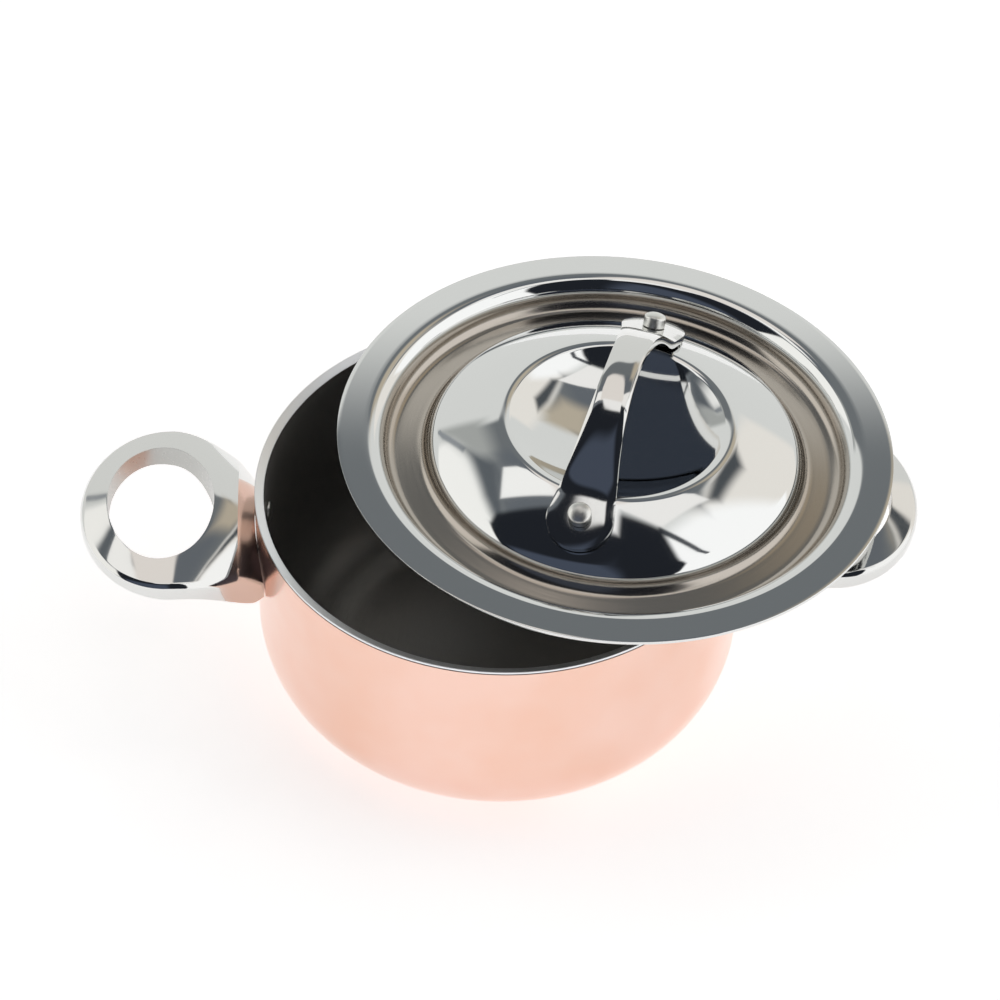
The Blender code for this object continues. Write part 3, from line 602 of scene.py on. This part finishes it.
# Lid plate
# One pressing of 1.2 mm stainless steel: a flat flange, a groove that drops into the pan's mouth,
# a low dome, and a dimple under the strap. Flange and dome are mirror polished, and the groove keeps
# the satin of turned lines and is painted a darker, warmer grey as shade.
LID_PLAY = 0.0003
LID_SHEET = 0.0012
FLANGE_WIDTH = 0.0095
FLANGE_BEND = 0.0058
GROOVE_DEPTH = 0.0089
GROOVE_BEND = 0.0020  # a tight bend that fixes where the groove lies
SOFT_GROOVE_BEND = 0.0042  # the bend that is made there
DOME_EDGE_TUCK = 0.0013  # how far before its edge the dome starts to bend
DOME_FOOT_DEPTH = 0.0083
DOME_FOOT_BEND = 0.0042
DOME_EDGE_SETBACK = 0.0138
DOME_EDGE_BEND = 0.0065
CREST_RADIUS = 0.0372
CREST_HEIGHT = 0.0084
CREST_BEND = 0.0050
DIMPLE_SLOPE = -30.0
DOME_TOP_SLOPE = 20.0
DOME_EDGE_SLOPE = 29.0
WALL_SLOPE = 80.0
LID_EDGE_RADIUS = 0.00035
LID_FINE_STEP = 0.0015
LID_RIVET_SETBACK = 0.0091
LID_RIVET_SHANK = 0.0040
LID_PLATE_DRILL = (-0.006, 0.002)
LID_STRAP_DRILL = (-0.002, 0.008)
STRAP_AZIMUTH = math.radians(71.3)
LID_SHIFT = 0.0396
LID_SHIFT_AZIMUTH = math.radians(18.1)
LID_TILT = math.radians(1.94)
LID_COLOUR = "#DEDFDE"
# The groove's darker, warmer colour is painted shade on the same steel. It fades in with the satin between
# the two depths below.
GROOVE_SHADE_COLOUR = "#B4ADA4"
SATIN_AND_SHADE_START = 0.35  # as a share of the groove's depth
SATIN_AND_SHADE_FULL = 0.75

WALL_RUN = math.sin(math.radians(WALL_SLOPE))
WALL_RISE = 1 - math.cos(math.radians(WALL_SLOPE))
FLANGE_INNER_RADIUS = LINING_INNER_RADIUS - LID_PLAY + (FLANGE_BEND - LID_SHEET) * WALL_RUN
LID_RADIUS = FLANGE_INNER_RADIUS + FLANGE_WIDTH
GROOVE_WALL_HEIGHT = GROOVE_DEPTH - (FLANGE_BEND + GROOVE_BEND) * WALL_RISE
GROOVE_WALL_LEAN = GROOVE_WALL_HEIGHT / math.tan(math.radians(WALL_SLOPE))
GROOVE_RADIUS = FLANGE_INNER_RADIUS - (FLANGE_BEND + GROOVE_BEND) * WALL_RUN - GROOVE_WALL_LEAN
DOME_EDGE_RADIUS = GROOVE_RADIUS - DOME_EDGE_SETBACK
LID_RIVET_RADIUS = CREST_RADIUS + LID_RIVET_SETBACK
DIMPLE_BOWL = CREST_RADIUS / -math.sin(math.radians(DIMPLE_SLOPE)) - CREST_BEND
DOME_START = CREST_RADIUS + CREST_BEND * math.sin(math.radians(DOME_TOP_SLOPE))
DOME_TURN = math.sin(math.radians(DOME_EDGE_SLOPE)) - math.sin(math.radians(DOME_TOP_SLOPE))
DOME_CURVE = (DOME_EDGE_RADIUS - DOME_START) / DOME_TURN


def lid_place():
    """Where the lid lies: the underside of its groove rests on the rim, a little tilted."""
    chord = (LID_SHIFT ** 2 + RIM_RADIUS ** 2 - GROOVE_RADIUS ** 2) / (2 * LID_SHIFT)
    height = PAN_HEIGHT + FIT_GAP + (GROOVE_DEPTH + LID_SHEET) * math.cos(LID_TILT)
    height -= (LID_SHIFT - chord) * math.tan(LID_TILT)
    middle = Matrix.Translation((LID_SHIFT * math.cos(LID_SHIFT_AZIMUTH),
                                 LID_SHIFT * math.sin(LID_SHIFT_AZIMUTH), height))
    axis = Vector((-math.sin(LID_SHIFT_AZIMUTH), math.cos(LID_SHIFT_AZIMUTH), 0))
    return middle @ Matrix.Rotation(LID_TILT, 4, axis)


lid_lies = lid_place()


def bend_on(chain, radius, start, end, steps):
    """Carry a chain of (radius, height) points on round a bend, from one slope to another."""
    side = radius if end > start else -radius
    r, z = chain[-1]
    first = math.radians(start)
    for i in range(1, steps + 1):
        now = math.radians(start + (end - start) * i / steps)
        out = side * (math.sin(now) - math.sin(first))
        down = side * (math.cos(first) - math.cos(now))
        chain.append((r + out, z - down))


def lid_top_profile():
    """The lid's upper face from its axis out: dimple, crest, dome, groove and flange."""
    edge = math.cos(math.radians(DIMPLE_SLOPE))
    chain = [(0, CREST_HEIGHT - (CREST_BEND + DIMPLE_BOWL) * (1 - edge))]
    bend_on(chain, DIMPLE_BOWL, 0, DIMPLE_SLOPE, steps=20)
    bend_on(chain, CREST_BEND, DIMPLE_SLOPE, DOME_TOP_SLOPE, steps=14)
    edge_slope = math.degrees(dome_point(DOME_EDGE_RADIUS - DOME_EDGE_TUCK)[1])
    bend_on(chain, DOME_CURVE, DOME_TOP_SLOPE, edge_slope, steps=14)
    bend_on(chain, DOME_EDGE_BEND, edge_slope, WALL_SLOPE, steps=18)
    foot_z = DOME_FOOT_BEND * WALL_RISE - DOME_FOOT_DEPTH
    r, z = chain[-1]
    chain.append((r + (z - foot_z) / math.tan(math.radians(WALL_SLOPE)), foot_z))
    bend_on(chain, DOME_FOOT_BEND, WALL_SLOPE, 0, steps=10)
    bend_in = (SOFT_GROOVE_BEND - GROOVE_BEND) * WALL_RUN
    lean_in = (SOFT_GROOVE_BEND - GROOVE_BEND) * WALL_RISE / math.tan(math.radians(WALL_SLOPE))
    chain += divided([chain[-1], (GROOVE_RADIUS - bend_in + lean_in, -GROOVE_DEPTH)], LID_FINE_STEP)[1:]
    bend_on(chain, SOFT_GROOVE_BEND, 0, -WALL_SLOPE, steps=16)
    chain.append((FLANGE_INNER_RADIUS - FLANGE_BEND * WALL_RUN, -FLANGE_BEND * WALL_RISE))
    bend_on(chain, FLANGE_BEND, -WALL_SLOPE, 0, steps=16)
    return chain + divided([chain[-1], (LID_RADIUS, 0)], LID_FINE_STEP)[1:]


def offset_down(points, distance):
    """The same chain, moved down along its own normals by a distance, and straight down at its ends."""
    moved = []
    for i, (r, z) in enumerate(points):
        before = points[max(i - 1, 0)]
        after = points[min(i + 1, len(points) - 1)]
        along = Vector((after[0] - before[0], after[1] - before[1])).normalized()
        if i in (0, len(points) - 1):
            along = Vector((1, 0))
        moved.append((r + along.y * distance, z - along.x * distance))
    return moved


def dome_point(radius):
    """Height and outward slope of the dome's upper face at a radius."""
    start = math.radians(DOME_TOP_SLOPE)
    slope = math.asin(math.sin(start) + (radius - DOME_START) / DOME_CURVE)
    top = CREST_HEIGHT - CREST_BEND * (1 - math.cos(start))
    return top - DOME_CURVE * (math.cos(start) - math.cos(slope)), slope


def lid_rivet_place(end):
    """Place of one strap rivet in the lid's own frame: its Z stands square on the dome."""
    height, slope = dome_point(LID_RIVET_RADIUS)
    azimuth = STRAP_AZIMUTH if end == "back" else STRAP_AZIMUTH + math.pi
    out = Matrix.Translation((LID_RIVET_RADIUS, 0, height))
    return Matrix.Rotation(azimuth, 4, "Z") @ out @ Matrix.Rotation(slope, 4, "Y")


def lid_rivet_hole_tools(low, high):
    """Bars that drill the strap rivets' two holes in plate or strap, in the lid's own frame."""
    radius = LID_RIVET_SHANK / 2 + HOLE_CLEARANCE
    return [bar(radius, low, high, lid_rivet_place(end)) for end in ("front", "back")]


def pressed_steel():
    """Pressed stainless steel: a clear mirror on dome and flange, and a satin groove whose turned lines
    smear what it mirrors into dull bands. They are drawn coarser than real ones, so that they show.
    The groove is also painted a darker, warmer grey as shade."""
    made = empty_material("pressed_lid_steel_with_painted_groove_shade")
    tree = made.node_tree
    lines, height, _ = turning_lines(tree, pitch=0.0005, sweep=6.0, axis=lid_lies)
    # satin: the share of the groove's satin finish, which also mixes in its painted shade.
    satin = add_node(tree, "ShaderNodeMapRange", {
        "Value": height, "From Min": -GROOVE_DEPTH * SATIN_AND_SHADE_START,
        "From Max": -GROOVE_DEPTH * SATIN_AND_SHADE_FULL})
    marks = add_node(tree, "ShaderNodeMapRange", {"Value": lines, "To Min": 0.13, "To Max": 0.22})
    rough = add_node(tree, "ShaderNodeMix", {
        "Factor": satin.outputs["Result"], "A": 0.045, "B": marks.outputs["Result"]})
    depth = add_node(tree, "ShaderNodeMath", {0: satin.outputs["Result"], 1: lines}, operation="MULTIPLY")
    bump = add_node(tree, "ShaderNodeBump", {
        "Height": depth.outputs["Value"], "Strength": 0.05, "Distance": 0.0001})
    # Painted shade: the groove's darker, warmer colour.
    colour = add_node(tree, "ShaderNodeMix", {
        "Factor": satin.outputs["Result"], "A": linear(LID_COLOUR), "B": linear(GROOVE_SHADE_COLOUR),
    }, data_type="RGBA")
    shader = add_node(tree, "ShaderNodeBsdfPrincipled", {
        "Base Color": colour.outputs["Result"], "Metallic": 1.0,
        "Roughness": rough.outputs["Result"], "Normal": bump.outputs["Normal"]})
    add_node(tree, "ShaderNodeOutputMaterial", {"Surface": shader.outputs["BSDF"]})
    return made


lid_top = lid_top_profile()
lid_bm = turned(lid_top + offset_down(lid_top, LID_SHEET)[::-1])
soften(lid_bm, LID_EDGE_RADIUS, segments=3)
lid_bm = cut(lid_bm, lid_rivet_hole_tools(*LID_PLATE_DRILL))
bmesh.ops.transform(lid_bm, matrix=lid_lies, verts=lid_bm.verts)
make_piece("lid_plate", lid_bm, [pressed_steel()], "lid")


# Strap
# The lid's grip is a strip of 3 mm steel, stamped with a waist and two round lobes, its edges
# rolled over, then bent into an arch whose feet lie on the dome. It is mirror polished.
STRAP_THICKNESS = 0.0030
STRAP_WAIST = 0.0108
STRAP_LOBE_RADIUS = 0.0107
STRAP_SLOPE = math.radians(53.0)
STRAP_BEND = 0.0137
STRAP_FOOT_LENGTH = 0.0075
STRAP_EDGE_RADIUS = 0.0014
STRAP_CROWN = 0.0007  # how far the top falls to its edges
STRAP_SIDE_SHARE = 0.6  # the share of the grid's columns that lie along the sides
STRAP_STEPS = 120
STRAP_ROWS = 20

foot_height, foot_slope = dome_point(LID_RIVET_RADIUS)
strap_lift = FIT_GAP + STRAP_THICKNESS / 2
rivet_line_s = LID_RIVET_RADIUS + math.sin(foot_slope) * strap_lift
rivet_line_z = foot_height + math.cos(foot_slope) * strap_lift
bend_run = STRAP_BEND * (math.sin(STRAP_SLOPE) - math.sin(foot_slope))
bend_fall = STRAP_BEND * (math.cos(foot_slope) - math.cos(STRAP_SLOPE))
foot_run = STRAP_FOOT_LENGTH * math.cos(foot_slope)
arch_radius = (rivet_line_s - foot_run - bend_run) / math.sin(STRAP_SLOPE)
arch_fall = arch_radius * (1 - math.cos(STRAP_SLOPE))
arch_top = rivet_line_z + arch_fall + bend_fall + STRAP_FOOT_LENGTH * math.sin(foot_slope)
arch_length = arch_radius * STRAP_SLOPE
bend_length = STRAP_BEND * (STRAP_SLOPE - foot_slope)
rivet_length = arch_length + bend_length + STRAP_FOOT_LENGTH


def strap_point(length):
    """Distance, height and slope of the strap's middle line at a length from its top."""
    if length <= arch_length:
        slope = length / arch_radius
        return arch_radius * math.sin(slope), arch_top - arch_radius * (1 - math.cos(slope)), slope
    if length <= arch_length + bend_length:
        slope = STRAP_SLOPE - (length - arch_length) / STRAP_BEND
        run = STRAP_BEND * (math.sin(STRAP_SLOPE) - math.sin(slope))
        fall = STRAP_BEND * (math.cos(slope) - math.cos(STRAP_SLOPE))
        return arch_radius * math.sin(STRAP_SLOPE) + run, arch_top - arch_fall - fall, slope
    past = length - arch_length - bend_length
    s = arch_radius * math.sin(STRAP_SLOPE) + bend_run + past * math.cos(foot_slope)
    return s, arch_top - arch_fall - bend_fall - past * math.sin(foot_slope), foot_slope


# The strap's sides widen as parabolas from the waist and run into the lobes without a corner. Their
# lean at that point is found by repeating, from a rough start.
waist = STRAP_WAIST / 2
lean = 0.2
for _ in range(20):
    side_end = rivet_length - STRAP_LOBE_RADIUS * math.sin(lean)
    lean = math.atan(2 * (STRAP_LOBE_RADIUS * math.cos(lean) - waist) / side_end)
side_growth = (STRAP_LOBE_RADIUS * math.cos(lean) - waist) / side_end ** 2


def strap_edge(share):
    """Length and half width of the strap's outline, from its waist (0) to its tip (1)."""
    if share < STRAP_SIDE_SHARE:
        length = side_end * share / STRAP_SIDE_SHARE
        return length, waist + side_growth * length ** 2
    past = (share - STRAP_SIDE_SHARE) / (1 - STRAP_SIDE_SHARE)
    angle = -lean + (math.pi / 2 + lean) * past
    return rivet_length + STRAP_LOBE_RADIUS * math.sin(angle), STRAP_LOBE_RADIUS * math.cos(angle)


def strap_fall(length, across):
    """How far the strap's rolled top lies below its middle, which grows fast towards its edge."""
    past = length - rivet_length
    if past > 0:
        share = math.hypot(past, across) / STRAP_LOBE_RADIUS
    elif length < side_end:
        share = abs(across) / (waist + side_growth * length ** 2)
    else:
        share = abs(across) / math.sqrt(STRAP_LOBE_RADIUS ** 2 - past ** 2)
    return STRAP_CROWN * min(share, 1) ** 4


strap_bm = bmesh.new()
bmesh.ops.create_grid(strap_bm, x_segments=STRAP_STEPS, y_segments=STRAP_ROWS, size=1)
for vert in strap_bm.verts:
    length, half = strap_edge(abs(vert.co.x))
    vert.co = (math.copysign(length, vert.co.x), half * vert.co.y, STRAP_THICKNESS / 2)
bmesh.ops.remove_doubles(strap_bm, verts=strap_bm.verts, dist=MERGE_DISTANCE)
strap_top = set(strap_bm.verts)
bmesh.ops.extrude_face_region(strap_bm, geom=strap_bm.faces[:], use_keep_orig=True)
for vert in strap_bm.verts:
    if vert not in strap_top:
        vert.co.z = -STRAP_THICKNESS / 2
bmesh.ops.recalc_face_normals(strap_bm, faces=strap_bm.faces)
soften(strap_bm, STRAP_EDGE_RADIUS, segments=8)
for vert in strap_bm.verts:
    s, z, slope = strap_point(abs(vert.co.x))
    sign = math.copysign(1, vert.co.x)
    lift = vert.co.z
    if lift > 0:
        lift -= strap_fall(abs(vert.co.x), vert.co.y) * lift / (STRAP_THICKNESS / 2)
    vert.co = (sign * (s + math.sin(slope) * lift), vert.co.y, z + math.cos(slope) * lift)
bmesh.ops.rotate(strap_bm, cent=(0, 0, 0), matrix=Matrix.Rotation(STRAP_AZIMUTH, 3, "Z"),
                 verts=strap_bm.verts)
strap_bm = cut(strap_bm, lid_rivet_hole_tools(*LID_STRAP_DRILL))
bmesh.ops.transform(strap_bm, matrix=lid_lies, verts=strap_bm.verts)
make_piece("lid_strap", strap_bm, [casting], "lid")


# Strap rivets
# Two steel rivets with tall round heads clamp the strap on the dome, and their tails are
# flattened under the lid.
LID_RIVET_HEAD = 0.0074
LID_RIVET_RISE = 0.0044
LID_RIVET_ROUNDING = 0.0016
LID_RIVET_TAIL = 0.0062
LID_RIVET_TAIL_RISE = 0.0014

head_seat = FIT_GAP + STRAP_THICKNESS + FIT_GAP
tail_top = -LID_SHEET - FIT_GAP - LID_RIVET_TAIL ** 2 / 8 / LID_RIVET_RADIUS
side_top = head_seat + LID_RIVET_RISE - LID_RIVET_ROUNDING
crown = arc(0, side_top, LID_RIVET_HEAD / 2, LID_RIVET_ROUNDING, 90, 0, steps=16)
crown[0] = (0, crown[0][1])
tail = arc(LID_RIVET_TAIL / 2 - LID_RIVET_TAIL_RISE, tail_top, LID_RIVET_TAIL_RISE,
           LID_RIVET_TAIL_RISE, 0, -90, steps=10)
shank = [(LID_RIVET_HEAD / 2, head_seat), (LID_RIVET_SHANK / 2, head_seat), (LID_RIVET_SHANK / 2, tail_top)]
lid_rivet_profile = crown + shank + tail + [(0, tail[-1][1])]
for end in ("front", "back"):
    lid_rivet_bm = turned(lid_rivet_profile, steps=64)
    bmesh.ops.transform(lid_rivet_bm, matrix=lid_lies @ lid_rivet_place(end), verts=lid_rivet_bm.verts)
    make_piece("lid_rivet_" + end, lid_rivet_bm, [rivet_steel], "lid")


# Floor
# A plain white table top, painted matt. It glows a little for the camera and for the metal, so that
# both see it white, and it keeps the pan's shadow.
FLOOR_SIZE = 6.0
FLOOR_DROP = 0.0002
FLOOR_COLOUR = "#F2F2F2"
FLOOR_GLOW = 0.58
FLOOR_GLOW_IN_METAL = 0.63


def white_floor():
    """A matt white floor that glows for the camera and for mirrors, so that it shows white."""
    made = empty_material("white_floor")
    tree = made.node_tree
    path = add_node(tree, "ShaderNodeLightPath")
    mirrored = add_node(tree, "ShaderNodeMath", {
        0: path.outputs["Is Glossy Ray"], 1: path.outputs["Is Transmission Ray"]}, operation="MAXIMUM")
    faint = add_node(tree, "ShaderNodeMath", {0: mirrored.outputs["Value"], 1: FLOOR_GLOW_IN_METAL},
                     operation="MULTIPLY")
    seen = add_node(tree, "ShaderNodeMath", {0: path.outputs["Is Camera Ray"], 1: FLOOR_GLOW},
                    operation="MULTIPLY")
    glow = add_node(tree, "ShaderNodeMath", {0: seen.outputs["Value"], 1: faint.outputs["Value"]},
                    operation="ADD")
    light = add_node(tree, "ShaderNodeEmission", {
        "Color": linear("#FFFFFF"), "Strength": glow.outputs["Value"]})
    matt = add_node(tree, "ShaderNodeBsdfDiffuse", {"Color": linear(FLOOR_COLOUR)})
    both = add_node(tree, "ShaderNodeAddShader", {0: light.outputs["Emission"], 1: matt.outputs["BSDF"]})
    add_node(tree, "ShaderNodeOutputMaterial", {"Surface": both.outputs["Shader"]})
    return made


floor_bm = bmesh.new()
bmesh.ops.create_grid(floor_bm, x_segments=1, y_segments=1, size=FLOOR_SIZE / 2)
bmesh.ops.translate(floor_bm, vec=(0, 0, -FLOOR_DROP), verts=floor_bm.verts)
floor = loose_object("floor", floor_bm)
floor.data.materials.append(white_floor())


# Studio light
# White cloth stands round the table as in a light tent, under a grey ceiling. A long softbox hangs
# overhead, a little to the back, the front is open to a dark room, and dark gaps part the cloths.
STUDIO_STRENGTH = 1.25
TENT_COLOUR = "#D6D7D5"

# Each panel has its name, colour, width of soft edge and corners, and covers those before it.
# Corners are places on a plan of the sky: x to the right and y to the back, each divided by one
# plus z, so the zenith is at (0, 0) and the horizon lies at a distance of 1.
TENT_PANELS = (
    ("right side cloth", "#E8E4DE", 0.06,
     ((0.42, 0.55), (1.6, 0.5), (1.6, -1.6), (0.3, -0.4), (0.25, 0.05))),
    ("right front cloth", "#FFFFFF", 0.05,
     ((0.30, 0.10), (0.52, 0.30), (1.8, 0.2), (1.8, -1.8), (0.0, -1.8), (0.0, -0.1))),
    ("left side cloth", "#F6F5F2", 0.05,
     ((-0.34, 0.46), (-0.27, 0.10), (-0.60, -0.30), (-1.8, -0.3), (-1.8, 0.3))),
    ("ceiling", "#6C7073", 0.03,
     ((-0.30, 0.455), (0.22, 0.44), (0.34, 0.34), (0.27, 0.09), (0.06, 0.04), (-0.24, 0.06))),
    ("ceiling at the left", "#A3A5A3", 0.05,
     ((-0.38, 0.54), (-0.27, 0.485), (-0.25, 0.26), (-0.32, 0.37))),
    ("ceiling overhead", "#63686E", 0.08,
     ((-0.25, 0.30), (0.20, 0.28), (0.27, 0.09), (0.06, 0.04), (-0.24, 0.06))),
    ("warm wall light", "#B5AB9A", 0.09,
     ((0.18, 0.44), (0.36, 0.42), (0.36, 0.34), (0.28, 0.22), (0.16, 0.25))),
    ("right slit", "#4A4E52", 0.03,
     ((0.385, 0.37), (0.402, 0.29), (0.33, 0.13), (0.29, 0.11), (0.34, 0.27))),
    ("left seam", "#8C9094", 0.008,
     ((-0.385, 0.535), (-0.37, 0.54), (-0.318, 0.385), (-0.326, 0.37))),
    ("left slit", "#5A5F64", 0.03,
     ((-0.318, 0.38), (-0.253, 0.265), (-0.24, 0.065), (-0.262, 0.05), (-0.29, 0.17))),
    ("softbox, left end", "#F6F5F3", 0.008,
     ((-0.238, 0.242), (-0.25, 0.141), (-0.04, 0.067), (-0.04, 0.145))),
    ("softbox, middle", "#F2F1F0", 0.008,
     ((-0.05, 0.15), (-0.05, 0.07), (0.07, 0.028), (0.07, 0.115))),
    ("softbox, right end", "#F0EEEC", 0.008,
     ((0.06, 0.118), (0.06, 0.031), (0.16, -0.004), (0.30, 0.12))),
    ("softbox, back", "#E4DED9", 0.03,
     ((-0.12, 0.22), (-0.08, 0.30), (0.04, 0.30), (0.08, 0.08), (0.05, 0.05), (-0.11, 0.09))),
    ("front seam", "#3A3E44", 0.006,
     ((0.155, 0.0), (0.30, -0.037), (0.298, -0.049), (0.155, -0.016))),
    ("dark room in front", "#1F2228", 0.02,
     ((-0.262, 0.10), (0.16, -0.004), (0.225, -0.095), (0.30, -0.25), (0.42, -0.6),
      (0.6, -1.8), (-1.8, -1.8), (-0.75, -0.35))),
    ("far wall of the dark room", "#434A58", 0.12,
     ((0.0, -0.15), (-0.6, -0.35), (-1.8, -1.8), (0.1, -1.8))),
    ("softbox, front middle", "#F2F1F0", 0.02,
     ((-0.075, 0.09), (-0.06, 0.0), (0.045, -0.03), (0.055, 0.05))),
)


def tent_panel(tree, plan, below, colour, softness, corners):
    """Lay one panel of the tent over what is below it, with a soft edge."""
    turn = sum(a[0] * b[1] - b[0] * a[1] for a, b in zip(corners, corners[1:] + corners[:1]))
    ring = corners if turn > 0 else corners[::-1]
    inside = None
    for a, b in zip(ring, ring[1:] + ring[:1]):
        inward = Vector((a[1] - b[1], b[0] - a[0])).normalized()
        offset = inward.dot(Vector(a))
        side = add_node(tree, "ShaderNodeVectorMath", {
            0: plan, 1: (inward.x / softness, inward.y / softness, -offset / softness)},
            operation="DOT_PRODUCT")
        if inside is None:
            inside = side.outputs["Value"]
        else:
            nearest = add_node(tree, "ShaderNodeMath", {0: inside, 1: side.outputs["Value"]},
                               operation="MINIMUM")
            inside = nearest.outputs["Value"]
    share = add_node(tree, "ShaderNodeMapRange", {
        "Value": inside, "From Min": -0.5, "From Max": 0.5}, interpolation_type="SMOOTHSTEP")
    mixed = add_node(tree, "ShaderNodeMix", {
        "Factor": share.outputs["Result"], "A": below, "B": linear(colour)}, data_type="RGBA")
    return mixed.outputs["Result"]


world = bpy.data.worlds.new("light_tent")
bpy.context.scene.world = world
world.use_nodes = True
tent = world.node_tree
tent.nodes.clear()
heading = add_node(tent, "ShaderNodeTexCoord")
sky = add_node(tent, "ShaderNodeSeparateXYZ", {"Vector": heading.outputs["Generated"]})
spread = add_node(tent, "ShaderNodeMath", {0: sky.outputs["Z"], 1: 1.0}, operation="ADD")
plan_x = add_node(tent, "ShaderNodeMath", {0: sky.outputs["X"], 1: spread.outputs["Value"]},
                  operation="DIVIDE")
plan_y = add_node(tent, "ShaderNodeMath", {0: sky.outputs["Y"], 1: spread.outputs["Value"]},
                  operation="DIVIDE")
plan = add_node(tent, "ShaderNodeCombineXYZ", {
    "X": plan_x.outputs["Value"], "Y": plan_y.outputs["Value"], "Z": 1.0})
cloth = linear(TENT_COLOUR)
for _, colour, softness, corners in TENT_PANELS:
    cloth = tent_panel(tent, plan.outputs["Vector"], cloth, colour, softness, corners)
path = add_node(tent, "ShaderNodeLightPath")
tent_light = add_node(tent, "ShaderNodeBackground", {"Color": cloth, "Strength": STUDIO_STRENGTH})
white_sheet = add_node(tent, "ShaderNodeBackground", {"Color": linear("#FFFFFF")})
seen = add_node(tent, "ShaderNodeMixShader", {
    0: path.outputs["Is Camera Ray"], 1: tent_light.outputs["Background"],
    2: white_sheet.outputs["Background"]})
add_node(tent, "ShaderNodeOutputWorld", {"Surface": seen.outputs["Shader"]})


# Camera
# A long lens looks down on the pan from in front, from about a metre away. It is a little turned and
# rolled, as in the photograph.
CAMERA_DISTANCE = 1.06525
CAMERA_ELEVATION = math.radians(48.32)
CAMERA_YAW = math.radians(0.02)
CAMERA_PITCH = math.radians(2.91)
CAMERA_ROLL = math.radians(1.86)
CAMERA_TURN = math.radians(-3.9)
CAMERA_LENS = 111.45
CAMERA_SENSOR = 36.0

camera_data = bpy.data.cameras.new("camera")
camera_data.lens = CAMERA_LENS
camera_data.sensor_width = CAMERA_SENSOR
camera = bpy.data.objects.new("camera", camera_data)
bpy.context.scene.collection.objects.link(camera)
turn_about = Matrix.Rotation(CAMERA_TURN, 4, "Z")
swing = Matrix.Rotation(-CAMERA_ELEVATION, 4, "X")
stand = turn_about @ swing @ Matrix.Translation((0, -CAMERA_DISTANCE, 0))
aim = Matrix.Rotation(math.pi / 2, 4, "X")
look = Matrix.Rotation(CAMERA_YAW, 4, "Y") @ Matrix.Rotation(CAMERA_PITCH, 4, "X")
camera.matrix_world = stand @ aim @ look @ Matrix.Rotation(CAMERA_ROLL, 4, "Z")
bpy.context.scene.camera = camera
bpy.context.scene.view_settings.view_transform = "Standard"
